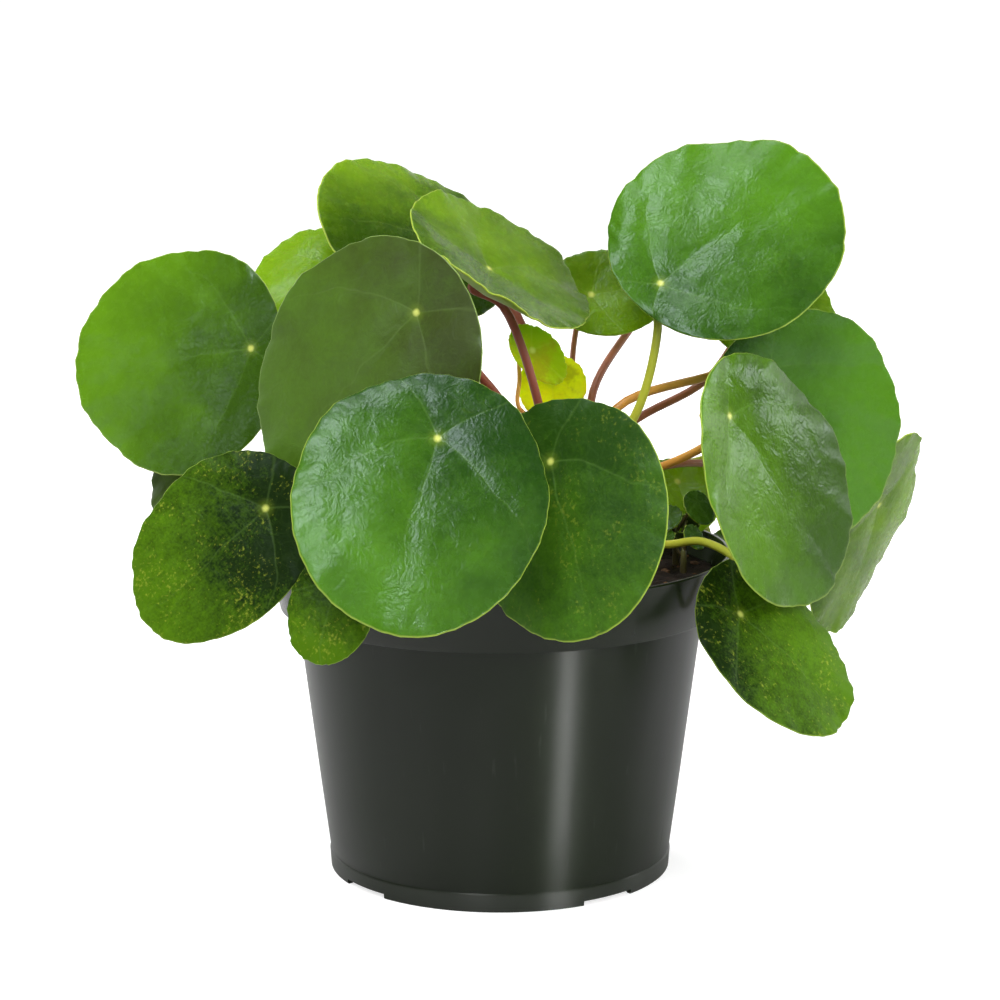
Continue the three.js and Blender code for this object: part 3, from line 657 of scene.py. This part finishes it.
cut_bm = bmesh.new()
for degrees in drain_angles:
    turn = Matrix.Rotation(math.radians(degrees), 4, "Z")
    slot_size = Matrix.Diagonal((10, notch_width, 2 * notch_height, 1))
    bmesh.ops.create_cube(cut_bm, size=1, matrix=turn @ Matrix.Translation((foot_radius, 0, 0)) @ slot_size)
    hole_place = turn @ Matrix.Translation((drain_hole_circle, 0, floor_top))
    bmesh.ops.create_cone(cut_bm, cap_ends=True, segments=24, radius1=drain_hole_radius,
                          radius2=drain_hole_radius, depth=10, matrix=hole_place)
bmesh.ops.scale(cut_bm, vec=(MM, MM, MM), verts=cut_bm.verts)
cutter = bpy.data.objects.new("drain_cutter", bpy.data.meshes.new("drain_cutter"))
cut_bm.to_mesh(cutter.data)
cut_bm.free()
scene.collection.objects.link(cutter)
drains = pot.modifiers.new("drains", "BOOLEAN")
drains.operation = "DIFFERENCE"
drains.object = cutter
bpy.context.view_layer.update()
shaped = bpy.data.meshes.new_from_object(pot.evaluated_get(bpy.context.evaluated_depsgraph_get()))
pot.modifiers.clear()
pot.data = shaped
bpy.data.objects.remove(cutter)
print("pot:", len(pot.data.polygons), "faces")

# %% [markdown]
# The surface of the mix is a spun disc whose points are lifted by the same lumps as the solid's, and by
# noise at two finer scales for its crumbs.

# %% Potting mix
soil_level = 106
soil_noise = ((0.9, 4, 0), (0.6, 1.7, 50))
trunk_foot = (20, 9)
draw = random_numbers(71)
soil_lumps = []
for _ in range(60):
    around = 2 * math.pi * next(draw)
    out = 74 * math.sqrt(next(draw))
    radius = 5 + 5 * next(draw)
    lift = 2.4 * next(draw) - 0.7
    soil_lumps.append((out * math.cos(around), out * math.sin(around), radius, lift))


def soil_height(x, y):
    """The height of the mix at a point."""
    height = soil_level + 1.5 * math.exp(-((x - trunk_foot[0]) ** 2 + (y - trunk_foot[1]) ** 2) / 900)
    for lump_x, lump_y, radius, lift in soil_lumps:
        away = math.hypot(x - lump_x, y - lump_y) / radius
        height += lift * max(0, 1 - away * away)
    for rise, width, layer in soil_noise:
        height += rise * noise.noise(Vector((x, y, layer)) / width)
    return height


soil_edge = collar_radius(soil_level) - pot_wall - 0.3
soil_section = [(0, floor_top + 0.3), (body_radius(floor_top) - pot_wall - 2.7, floor_top + 0.3),
                (body_radius(floor_top + 2) - pot_wall - 0.4, floor_top + 2.5),
                (body_top_radius - pot_wall - 0.6, ledge + pot_wall + 0.3),
                (collar_radius(ledge) - pot_wall - 0.6, ledge + pot_wall + 0.3)]
soil_rings = 56
soil_section += [(soil_edge * (1 - k / soil_rings), soil_level) for k in range(soil_rings + 1)]
soil_bm = spun(soil_section, 160)
for vert in soil_bm.verts:
    if vert.co.z > soil_level - 0.5:
        vert.co.z = soil_height(vert.co.x, vert.co.y)
soften(soil_bm, 180)
soil = new_piece("potting_mix_surface", soil_bm, [peat], "potting_mix", "potting_mix")
print("mix:", len(soil.data.polygons), "faces")

# %% [markdown]
# Crumbs, bark chips and perlite lie loose on the mix. Each is a low ball, squashed and turned by its own
# random draw, and half sunk. They are one piece.

# %% Crumbs on the mix
crumb_kinds = [(0, 620, 0.5, 1.5), (1, 240, 0.8, 2.8), (2, 45, 0.6, 1.2)]
draw = random_numbers(97)
crumb_bm = bmesh.new()
for kind, count, smallest, largest in crumb_kinds:
    for _ in range(count):
        around = 2 * math.pi * next(draw)
        out = (soil_edge - 2) * math.sqrt(next(draw))
        x, y = out * math.cos(around), out * math.sin(around)
        size = smallest + (largest - smallest) * next(draw) ** 2
        shape = Matrix.Diagonal((size, size * (0.4 + 0.5 * next(draw)), size * (0.3 + 0.4 * next(draw)), 1))
        turn = Matrix.Rotation(6 * next(draw), 4, "Z") @ Matrix.Rotation(next(draw) - 0.5, 4, "X")
        spot = Matrix.Translation((x, y, soil_height(x, y) + 0.2 * size))
        made = bmesh.ops.create_icosphere(crumb_bm, subdivisions=1, radius=1, matrix=spot @ turn @ shape)
        for face in {face for vert in made["verts"] for face in vert.link_faces}:
            face.material_index = kind
crumbs = new_piece("mix_crumbs", crumb_bm, [peat, chip, perlite], "potting_mix")
print("crumbs:", len(crumbs.data.polygons), "faces")

# %% [markdown]
# The trunk is a spun section with a swelling below each leaf scar, sheared along its lean. Small noise
# makes it corky.

# %% Trunk
trunk_top = (25, 13)
trunk_bottom = 92
trunk_height = 153
trunk_foot_radius = 5.6
trunk_top_radius = 3.6
scar_step = 6
bark_depth = 0.08
bark_width = 2.5


def trunk_line(height):
    share = (height - soil_level) / (trunk_height - soil_level)
    return Vector((trunk_foot[0] + share * (trunk_top[0] - trunk_foot[0]),
                   trunk_foot[1] + share * (trunk_top[1] - trunk_foot[1]), height))


def trunk_radius(height):
    share = (height - soil_level) / (trunk_height - soil_level)
    return trunk_foot_radius + share * (trunk_top_radius - trunk_foot_radius)


trunk_section = [(0, trunk_bottom), (trunk_foot_radius - 0.6, trunk_bottom),
                 (trunk_foot_radius - 0.4, soil_level)]
height = soil_level + 2
while height < trunk_height - 3:
    base = trunk_radius(height)
    trunk_section += [(base - 0.5, height), (base - 0.2, height + 1.2)]
    trunk_section += [(base, height + 2), (base - 0.3, height + 2.6)]
    height += scar_step
trunk_section += [(trunk_top_radius * 0.8, trunk_height - 1), (trunk_top_radius * 0.4, trunk_height),
                  (0, trunk_height + 0.6)]
trunk_bm = spun(trunk_section, 40)
for vert in trunk_bm.verts:
    line = trunk_line(max(vert.co.z, soil_level))
    rough = 1 + bark_depth * noise.noise(vert.co / bark_width)
    vert.co = Vector((vert.co.x * rough + line.x, vert.co.y * rough + line.y, vert.co.z))
soften(trunk_bm, 60)
trunk = new_piece("trunk_bark", trunk_bm, [trunk_bark], "bark", "trunk")
print("trunk:", len(trunk.data.polygons), "faces")

# %% [markdown]
# Each leaf is placed as its solid is, by the point where its stalk joins the blade:
#
# - at: that point, on the blade's middle surface
# - faces: where the upper face looks, in degrees from straight ahead towards the right and above level
# - tip: where the tip points, in the blade's plane, in degrees from straight down towards the right
# - size: length from base to tip, and width; seat: how far from the base the stalk joins, as a share
# - bend: how far the blade curves back along and across it, in degrees; crease: a fold's turn and rise
# - curl: a margin that turns up, by its direction from the tip, where it starts, and its steepness
# - stalk: its start on the trunk (height, turn), the points it passes, its radius and its kind
# - tone: lightness, and how it changes towards the tip and towards the side; partly the blade's own colour
#   and partly painted light and shade

# %% The leaves
leaves = [
    dict(name="front", tint="deep", at=(-20.1, -98, 172.5), faces=(5, 29.5), tip=-17,
         size=(89, 82), seat=0.246, bend=(12, 14), start=(132, -25),
         via=[(2, -28, 147), (-11, -60, 153), (-19, -84, 164)], radius=1.8,
         stalk="red", tone_and_shading=(0.2, 0.9, -0.45)),
    dict(name="front_right", tint="speckled", at=(16.1, -82, 162), faces=(-33.7, 19.8), tip=27,
         size=(81.8, 75.2), seat=0.251, bend=(12, 16), start=(127, 2),
         via=[(23, -20, 142), (26, -54, 156)], radius=1.8, stalk="red", tone_and_shading=(0.12, 0.65, -0.1)),
    dict(name="centre_left", tint="dull", at=(-28.3, -60, 208.3), faces=(-27.6, 11), tip=-43,
         size=(97.9, 81.6), seat=0.205, bend=(14, 16), start=(146, -60),
         via=[(-2, -12, 174), (-9, -28, 185)], radius=1.7, stalk="red", tone_and_shading=(0.21, 0.79, -0.4)),
    # Its tone paints light and shade: paler towards the tip, which light shines through, and darker towards
    # its base, in the shade of the blade in front.
    dict(name="far_left", tint="bright", at=(-89, 6, 187.3), faces=(-22.4, 15.7), tip=-78, size=(86.6, 82.2),
         seat=0.157, bend=(10, 10), start=(141, -80), via=[(-22, 14, 164), (-66, 22, 182)], radius=1.8,
         stalk="green", tone_and_shading=(-0.1, 1.5, -0.45)),
    dict(name="low_left", tint="mottled", at=(-79.6, -56, 141.3), faces=(-16.6, 19.3), tip=-45,
         size=(75.8, 57.2), seat=0.233, bend=(8, 8), start=(131, -62),
         via=[(-20, -14, 142), (-60, -34, 146)], radius=1.6, stalk="green", tone_and_shading=(-0.1, 1.7, -0.5)),
    dict(name="small_low_left", tint="mottled", at=(-53.3, -88, 123), faces=(-17.9, 20.3), tip=-10,
         size=(35.8, 30.6), seat=0.207, bend=(8, 8), start=(122, -45),
         via=[(-10, -28, 128), (-44, -66, 130)], radius=1.1, stalk="green", tone_and_shading=(0.1, 1.6, 0.2)),
    dict(name="back_left", tint="dull", at=(-107, 24, 150), faces=(-30, 25), tip=-20, size=(46, 34),
         seat=0.28, bend=(8, 8), start=(126, -88), via=[(-24, 18, 136), (-80, 28, 136)], radius=1.5,
         stalk="green", tone_and_shading=(0.4, 0, 0)),
    # Its tone paints light and shade: a paler top, lit through from behind, and a painted shade on its lower
    # side.
    dict(name="top_left", tint="light", at=(-18, 58, 220.9), faces=(45.3, 41.8), tip=-108, size=(80.5, 75.3),
         seat=0.301, bend=(8, 30), start=(147, 215), via=[(16, 42, 165), (4, 60, 196), (-14, 68, 206)],
         radius=1.5, stalk="red", tone_and_shading=(-0.25, 0.6, -2)),
    dict(name="top_centre", tint="light", at=(-3.2, 0, 217.1), faces=(63.8, 51.7), tip=78, size=(81, 71.7),
         seat=0.424, bend=(-8, -16), curl=(205, 25, 0.8), start=(149, -95),
         via=[(14, 6, 166), (1, 8, 202)], radius=1.6, stalk="red", tone_and_shading=(0.35, 0.4, 0.3)),
    # Its high tone paints its whitish sheen into its colour.
    dict(name="back_small_left", tint="light", at=(-62, 40, 213), faces=(0, 50), tip=-50, size=(51, 46),
         seat=0.4, bend=(20, 20), start=(143, -115), via=[(-14, 30, 168), (-54, 48, 192)], radius=1.3,
         stalk="green", tone_and_shading=(1.2, 0.1, 0)),
    dict(name="back_centre", tint="light", at=(34, 55, 201), faces=(6, 34), tip=97, size=(46, 36),
         seat=0.34, bend=(8, 8), start=(151, 160), via=[(27, 36, 162), (27, 52, 178), (29, 62, 189)],
         radius=1.1, stalk="brown", tone_and_shading=(0.55, -0.6, -0.2)),
    dict(name="back_upper", tint="light", at=(72, 84, 218), faces=(-10, 45), tip=80, size=(46, 42),
         seat=0.3, bend=(8, 8), start=(149, 130), via=[(34, 31, 168), (50, 66, 188)], radius=1.5,
         stalk="brown", tone_and_shading=(0.3, 0, 0)),
    dict(name="top_right", tint="deep", at=(56.5, 0, 211.6), faces=(-2.7, 36.1), tip=130, size=(88.6, 81.4),
         seat=0.143, bend=(8, 10), start=(143, 70), via=[(48, 4, 163), (56, 6, 194)], radius=1.6,
         stalk="green", tone_and_shading=(0.5, 0.45, 0.8)),
    dict(name="back_right", tint="light", at=(98, 60, 198), faces=(10, 40), tip=30, size=(50, 50),
         seat=0.4, bend=(8, 8), start=(145, 115), via=[(50, 24, 159), (76, 40, 171)], radius=1.5,
         stalk="brown", tone_and_shading=(0.4, 0, 0)),
    dict(name="right", tint="deep", at=(96.9, 8, 178.9), faces=(20, 3.9), tip=34,
         size=(85.8, 77.7), seat=0.206, bend=(10, 12), start=(140, 100),
         via=[(42, 16, 164), (75, 26, 174)], radius=1.6, stalk="amber", tone_and_shading=(0.48, 0.9, 0.9)),
    dict(name="front_far_right", tint="bright", at=(77.8, -58, 173.2), faces=(52.7, 13), tip=33,
         size=(96.7, 74.8), seat=0.184, bend=(8, 8), crease=(-35, 0.12), start=(136, 70),
         via=[(56, 0, 145), (75, -24, 160)], radius=1.5, stalk="amber", tone_and_shading=(0.5, -0.5, -0.8)),
    dict(name="far_right", tint="light", at=(142.9, 52, 121.1), faces=(54.9, -21.7), tip=6, size=(87.5, 62),
         seat=0.354, bend=(8, 24), start=(131, 95), via=[(60, 16, 143), (90, 40, 138)], radius=1.4,
         stalk="brown", tone_and_shading=(0.5, 0, 0.9)),
    dict(name="low_right", tint="mottled", at=(82.8, -51, 103.8), faces=(40.2, 35.7), tip=31,
         size=(70.9, 55.9), seat=0.25, bend=(10, 10), start=(117, 82),
         via=[(58, -4, 118), (72, -14, 121), (85, -33, 114)],
         radius=1.5, stalk="green", tone_and_shading=(0.3, 0.9, 0.6)),
    dict(name="low_back_right", tint="light", at=(90, 58, 98), faces=(60, 30), tip=0, size=(52, 48),
         seat=0.28, bend=(8, 8), start=(121, 105), via=[(56, 30, 123), (72, 46, 122), (79, 56, 108)],
         radius=1.3, stalk="green", tone_and_shading=(0.4, 0, 0)),
    dict(name="back_low_right", tint="light", at=(66, 42, 133), faces=(20, 40), tip=0, size=(32, 30),
         seat=0.3, bend=(8, 8), crease=(0, 0.3), start=(124, 130), via=[(50, 30, 124)], radius=1.1,
         stalk="green", tone_and_shading=(1.0, 0, 0)),
    dict(name="young_front", tint="young", at=(12, 18, 185), faces=(20, 20), tip=40, size=(26, 17),
         seat=0.4, bend=(8, 8), crease=(0, 0.3), start=(153, 200), via=[(7, 16, 164), (7, 19, 174)],
         radius=0.8, stalk="amber", tone_and_shading=(0, 0, -0.5)),
    # Its high tone paints the light shining through it from behind.
    dict(name="young_back", tint="young", at=(19, 30, 172), faces=(0, 30), tip=0, size=(27, 25), seat=0.4,
         bend=(8, 8), start=(153, 165), via=[(23, 36, 160)], radius=0.8, stalk="green", tone_and_shading=(0.9, 0, 0)),
    dict(name="rear_left", tint="deep", at=(-22, 96, 128), faces=(190, 40), tip=10, size=(68, 62),
         seat=0.28, bend=(10, 10), start=(126, 205), via=[(4, 40, 138), (-12, 74, 140)], radius=1.6,
         stalk="green", tone_and_shading=(0.4, 0, 0)),
    dict(name="rear_centre", tint="deep", at=(34, 78, 136), faces=(165, 50), tip=0, size=(58, 52),
         seat=0.28, bend=(10, 10), start=(131, 170), via=[(26, 44, 142)], radius=1.5, stalk="green",
         tone_and_shading=(0.4, 0, 0)),
    dict(name="rear_upper_left", tint="deep", at=(-48, 62, 176), faces=(215, 45), tip=10, size=(60, 54),
         seat=0.28, bend=(10, 10), start=(138, 235), via=[(-14, 38, 162)], radius=1.5, stalk="green",
         tone_and_shading=(0.4, 0, 0)),
    dict(name="rear_right", tint="deep", at=(108, 72, 156), faces=(140, 45), tip=-10, size=(54, 50),
         seat=0.28, bend=(10, 10), start=(127, 118), via=[(44, 34, 138), (76, 58, 138)], radius=1.4,
         stalk="green", tone_and_shading=(0.4, 0, 0)),
]
print(len(leaves), "leaves")

# %% [markdown]
# A blade starts as a thin spun plate with a rounded rim. Its points are then carried to the leaf's own
# curved surface: the way out from the axis becomes the way from the navel to the margin. The surface bends
# back, folds or turns up as its solid does, waves at the margin, dips at the navel, and domes a little
# between the veins.

# %% From a flat plate to a blade
navel_depth = 1.4
navel_width = 8
egg_shape = -0.06
crease_softness = 4
curl_softness = 3
margin_waves = (2, 3, 5, 8)
wave_swell = 0.0215
wave_lift = 0.02
wave_least = 0.4
blade_thickness = 0.8
fine_wave_counts = (17, 29, 41)
scallop = 0.12
ripple = 0.3
dome = 0.006
dome_start = 14
vein_sway = 0.3
vein_sway_length = 9


def blade_frame(leaf):
    """The directions towards the tip, sideways, and out of the upper face."""
    turn, lift = (math.radians(value) for value in leaf["faces"])
    normal = Vector((math.sin(turn) * math.cos(lift), -math.cos(turn) * math.cos(lift), math.sin(lift)))
    right = Vector((math.cos(turn), math.sin(turn), 0))
    up = normal.cross(right)
    roll = math.radians(leaf["tip"])
    tip = right * math.sin(roll) - up * math.cos(roll)
    return tip, normal.cross(tip), normal


def blade_surface(leaf, seed):
    """A function from the share of the way to the margin and the angle to points on the blade."""
    tip, side, normal = (np.array(direction) for direction in blade_frame(leaf))
    length, width = leaf["size"]
    bend_along, bend_across = (math.radians(value) + 1e-6 for value in leaf["bend"])
    crease_turn, crease_rise = leaf.get("crease", (0, 0))
    curl_turn, curl_start, curl_rise = leaf.get("curl", (0, 0, 0))
    draw = random_numbers(seed)
    waves = []
    for count in margin_waves:
        size = wave_swell * (wave_least + (1 - wave_least) * next(draw)) / math.sqrt(count)
        lift = length * wave_lift * (wave_least + (1 - wave_least) * next(draw)) / math.sqrt(count)
        waves.append((count, size, lift, 2 * math.pi * next(draw)))
    fine_waves = [(count, 2 * math.pi * next(draw)) for count in fine_wave_counts]
    wander = 6 * next(draw)

    def surface(share, angle):
        swell = 1.0
        lift = 0.0
        for count, size, rise, phase in waves:
            swing = np.sin(count * angle + phase)
            swell = swell + size * swing
            lift = lift + rise * swing * share ** 3
        for count, phase in fine_waves:
            swing = np.sin(count * angle + phase)
            swell = swell + 2 * scallop / length * swing
            lift = lift + ripple * swing * share ** 8 * (fine_wave_counts[0] / count)
        along = share * ((0.5 - leaf["seat"]) * length + length / 2 * swell * np.cos(angle))
        across = share * width / 2 * swell * np.sin(angle) * (1 + egg_shape * np.cos(angle))
        curve_along, curve_across = bend_along / length, bend_across / width
        turn = math.radians(crease_turn)
        off_crease = across * math.cos(turn) - along * math.sin(turn)
        lift = lift - (1 - np.cos(curve_along * along)) / curve_along
        lift = lift - (1 - np.cos(curve_across * across)) / curve_across
        lift = lift + crease_rise * (np.hypot(off_crease, crease_softness) - crease_softness)
        turn = math.radians(curl_turn)
        curled = np.maximum(0, along * math.cos(turn) + across * math.sin(turn) - curl_start)
        lift = lift + curl_rise * (np.hypot(curled, curl_softness) - curl_softness)
        from_navel = np.hypot(along, across)
        lift = lift - leaf.get("navel", navel_depth) * np.exp(-(from_navel / navel_width) ** 2)
        around = np.arctan2(across, along)
        around = around + vein_curve * from_navel / 100 * np.sin(around)
        sway = vein_sway * np.sin(from_navel / vein_sway_length + wander)
        sector = np.abs(np.sin(vein_count / 2 * around + sway))
        inner_fade = np.clip(from_navel / dome_start, 0, 1)
        lift = lift + dome * length * (sector - 0.6) * inner_fade * (1 - share ** 4)
        point = np.multiply.outer(np.sin(curve_along * along) / curve_along, tip)
        point = point + np.multiply.outer(np.sin(curve_across * across) / curve_across, side)
        point = point + np.multiply.outer(lift, normal) + np.array(leaf["at"], float)
        return point, along, across

    return surface


def blade_plate(rings):
    """The flat plate's section: shares of the way out, and half thicknesses from 1 to -1."""
    shares = [0.0] + [(k / rings) ** 0.9 * 0.985 for k in range(1, rings + 1)]
    upper = [(share, 1.0) for share in shares]
    rim = [(0.993, 0.75), (0.998, 0.35), (1.0, 0.0), (0.998, -0.35), (0.993, -0.75)]
    return upper + rim + [(share, -1.0) for share in reversed(shares)]


def shape_blade(bm, leaf, seed, spokes, rings, thickness, tone_and_shading, shift):
    """Adds a blade to a bmesh, with its map in decimetres and its attributes."""
    plate = spun(blade_plate(rings), spokes)
    flat = np.array([vert.co for vert in plate.verts])
    share = np.hypot(flat[:, 0], flat[:, 1])
    angle = np.arctan2(flat[:, 1], flat[:, 0])
    surface = blade_surface(leaf, seed)
    small = 1e-3
    share = np.maximum(share, small)
    point, along, across = surface(share, angle)
    outward = surface(share + small, angle)[0] - point
    onward = surface(share, angle + small)[0] - point
    normal = np.cross(outward, onward)
    normal /= np.linalg.norm(normal, axis=1)[:, None]
    point = point + normal * (flat[:, 2] * thickness / 2)[:, None]
    length, width = leaf["size"]
    layers = {name: plate.verts.layers.float.new(name) for name in ("share", "under", "tone_and_shading", "shift")}
    flat_map = plate.loops.layers.uv.new("blade")
    places = {}
    for vert, spot, out, lengthwise, sideways in zip(plate.verts, point, share, along, across):
        under = (1 - vert.co.z) / 2
        vert[layers["share"]] = out
        vert[layers["under"]] = under
        # The tone is a gradient over the blade, partly its own colour and partly painted light and shade.
        vert[layers["tone_and_shading"]] = tone_and_shading[0] + tone_and_shading[1] * lengthwise / length + tone_and_shading[2] * sideways / width
        vert[layers["shift"]] = shift
        places[vert] = (lengthwise / 100, sideways / 100)
        vert.co = spot
    for face in plate.faces:
        for loop in face.loops:
            loop[flat_map].uv = places[loop.vert]
    soften(plate, 180)
    made = bpy.data.meshes.new("blade")
    plate.to_mesh(made)
    plate.free()
    bm.from_mesh(made)
    bpy.data.meshes.remove(made)


# %% [markdown]
# Each blade is one piece. Large ones get more spokes and rings than small ones, so that their margins stay
# smooth close up. A blade's random draws start from the same seed as its solid's, so the two wave alike.

# %% Blades
large_length = 60
large_net = (128, 24)
small_net = (80, 16)
first_seed = 100
seed_step = 7
pattern_step = 0.37
slot_kinds = {"young": "light", "speckled": "deep"}
for order, leaf in enumerate(leaves):
    spokes, rings = large_net if leaf["size"][0] >= large_length else small_net
    blade_bm = bmesh.new()
    shape_blade(blade_bm, leaf, first_seed + seed_step * order, spokes, rings, blade_thickness,
                leaf["tone_and_shading"], pattern_step * order)
    name = leaf["name"]
    slot = "leaf_" + slot_kinds.get(leaf["tint"], leaf["tint"])
    new_piece("leaf_" + name, blade_bm, [blade_looks[leaf["tint"]]], slot, "blade_" + name)
print("blades:", len(leaves))

# %% [markdown]
# A stalk is a ring of points drawn along a smooth line by extruding it step by step. The line runs through
# a few points, and is evenly curved between them.

# %% Drawing a rod along a line
def smooth_line(points, steps):
    """Points on a centripetal Catmull-Rom curve through the given ones."""
    points = [2 * points[0] - points[1], *points, 2 * points[-1] - points[-2]]
    line = []
    for p0, p1, p2, p3 in zip(points, points[1:], points[2:], points[3:]):
        d0, d1, d2 = (math.sqrt((b - a).length) for a, b in ((p0, p1), (p1, p2), (p2, p3)))
        t1 = ((p1 - p0) / d0 - (p2 - p0) / (d0 + d1) + (p2 - p1) / d1) * d1
        t2 = ((p2 - p1) / d1 - (p3 - p1) / (d1 + d2) + (p3 - p2) / d2) * d1
        for k in range(steps):
            t = k / steps
            square = 3 * (p2 - p1) - 2 * t1 - t2
            cube = 2 * (p1 - p2) + t1 + t2
            line.append(p1 + t1 * t + square * t ** 2 + cube * t ** 3)
    return line + [points[-2]]


def draw_rod(bm, line, radii, sides, material=0):
    """Extrudes a ring along a line. Its own attribute says how far along each point is."""
    rise = bm.verts.layers.float.get("rise") or bm.verts.layers.float.new("rise")
    turn = Vector((0, 0, 1)).rotation_difference(line[1] - line[0])
    before = set(bm.faces)

    def ring_matrix(k):
        return Matrix.Translation(line[k]) @ turn.to_matrix().to_4x4() @ Matrix.Scale(radii[k], 4)

    matrix = ring_matrix(0)
    ring = bmesh.ops.create_circle(bm, segments=sides, radius=1, matrix=matrix)["verts"]
    edges = list({edge for vert in ring for edge in vert.link_edges})
    bmesh.ops.edgeloop_fill(bm, edges=edges)
    for vert in ring:
        vert[rise] = 0
    for k in range(1, len(line)):
        ahead = line[min(k + 1, len(line) - 1)] - line[k - 1]
        turn = (turn @ Vector((0, 0, 1))).rotation_difference(ahead) @ turn
        made = bmesh.ops.extrude_edge_only(bm, edges=edges)["geom"]
        ring = [item for item in made if isinstance(item, bmesh.types.BMVert)]
        edges = [item for item in made if isinstance(item, bmesh.types.BMEdge)]
        step = ring_matrix(k) @ matrix.inverted()
        bmesh.ops.transform(bm, matrix=step, verts=ring)
        matrix = ring_matrix(k)
        for vert in ring:
            vert[rise] = k / (len(line) - 1)
    bmesh.ops.edgeloop_fill(bm, edges=edges)
    new_faces = [face for face in bm.faces if face not in before]
    bmesh.ops.recalc_face_normals(bm, faces=new_faces)
    for face in new_faces:
        face.material_index = material
        face.smooth = len(face.verts) == 4


# %% [markdown]
# Each stalk starts in the trunk's side and ends in the blade's underside, below the navel. It is thicker
# where it leaves the trunk, thins towards the blade, and spreads a little where it meets it.

# %% Stalks
solid_gap = 0.3
shoulder_rise = 2
neck_length = 8
sink_in_trunk = 1.5
sink_in_blade = 0.7
for leaf in leaves:
    tip, side, normal = blade_frame(leaf)
    height, turn = leaf["start"]
    radius = leaf["radius"]
    around = Vector((math.sin(math.radians(turn)), -math.cos(math.radians(turn)), 0))
    root = trunk_line(height) + around * (trunk_radius(height) + solid_gap + 0.35 * radius)
    shoulder = root + around * 3 * radius + Vector((0, 0, shoulder_rise))
    seat = Vector(leaf["at"])
    end = seat - normal * (navel_depth + 0.5 + solid_gap)
    arrive = (normal + 0.3 * tip).normalized()
    points = [root, shoulder, *(Vector(point) for point in leaf["via"]), end - arrive * neck_length, end]
    line = smooth_line(points, 7)
    line = [root - around * sink_in_trunk, *line, end + normal * sink_in_blade]
    last = len(line) - 1
    radii = []
    for k in range(len(line)):
        share = k / last
        foot = 0.45 * math.exp(-(share / 0.05) ** 2)
        head = 0.3 * math.exp(-((1 - share) / 0.04) ** 2)
        radii.append(radius * (1.06 - 0.16 * share + foot + head))
    stalk_bm = bmesh.new()
    draw_rod(stalk_bm, line, radii, 14)
    kind = leaf["stalk"]
    new_piece("petiole_" + leaf["name"], stalk_bm, [stalk_looks[kind]], "stalk_" + kind,
              "stalk_" + leaf["name"])
print("stalks:", len(leaves))

# %% [markdown]
# Two offsets have come up from the roots, close to the pot's wall. Each is one piece: a short stem with
# tiny leaves on thin stalks, at places measured from the stem's foot.

# %% Offsets
offsets = [
    dict(name="inner", foot=(64, 18), height=13, seed=311, leaves=[
        dict(at=(7, -5, 24), faces=(30, 35), tip=20, size=(14, 12)),
        dict(at=(-3, -8, 20), faces=(-20, 50), tip=-30, size=(13, 11)),
        dict(at=(-8, 2, 22), faces=(-70, 45), tip=0, size=(11, 10)),
        dict(at=(4, 3, 16), faces=(160, 50), tip=0, size=(11, 9)),
    ]),
    dict(name="outer", foot=(66, 4), height=8, seed=347, leaves=[
        dict(at=(3, -3, 15), faces=(40, 35), tip=20, size=(10, 9)),
        dict(at=(-6, 0, 13), faces=(-60, 50), tip=0, size=(9, 8)),
        dict(at=(1, 7, 12), faces=(150, 50), tip=0, size=(9, 8)),
    ]),
]
stem_radii = [1.3, 1.3, 1.05, 0.3]
tiny_stalk_radius = 0.6
tiny_thickness = 0.7
tiny_tone = (0.35, 0, 0)
for offset in offsets:
    base = Vector((*offset["foot"], soil_level))
    offset_bm = bmesh.new()
    stem = [base + Vector((0, 0, rise)) for rise in (-10, 0, offset["height"], offset["height"] + 1)]
    draw_rod(offset_bm, stem, stem_radii, 12, material=1)
    for order, leaf in enumerate(offset["leaves"]):
        at = base + Vector(leaf["at"])
        sized = dict(leaf, at=tuple(at), seat=0.35, bend=(16, 16), navel=0)
        normal = blade_frame(sized)[2]
        root = base + Vector((0, 0, offset["height"] - 1 - 1.5 * order))
        neck = at - normal * 3
        line = smooth_line([root, (root + neck) / 2, neck, at], 6)
        draw_rod(offset_bm, line, [tiny_stalk_radius] * len(line), 10, material=1)
        shape_blade(offset_bm, sized, offset["seed"] + order, 40, 8, tiny_thickness, tiny_tone, 2.1 * order)
    new_piece("offset_" + offset["name"] + "_plant", offset_bm, [blade_looks["tiny"], stalk_looks["dark"]],
              "leaf_deep", "offset_" + offset["name"])
print("offsets:", len(offsets))

# %% [markdown]
# Last, the box of the finished plant is printed.

# %% Sizes, and the end
low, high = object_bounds()
print("visual box from", tuple(low), "to", tuple(high))
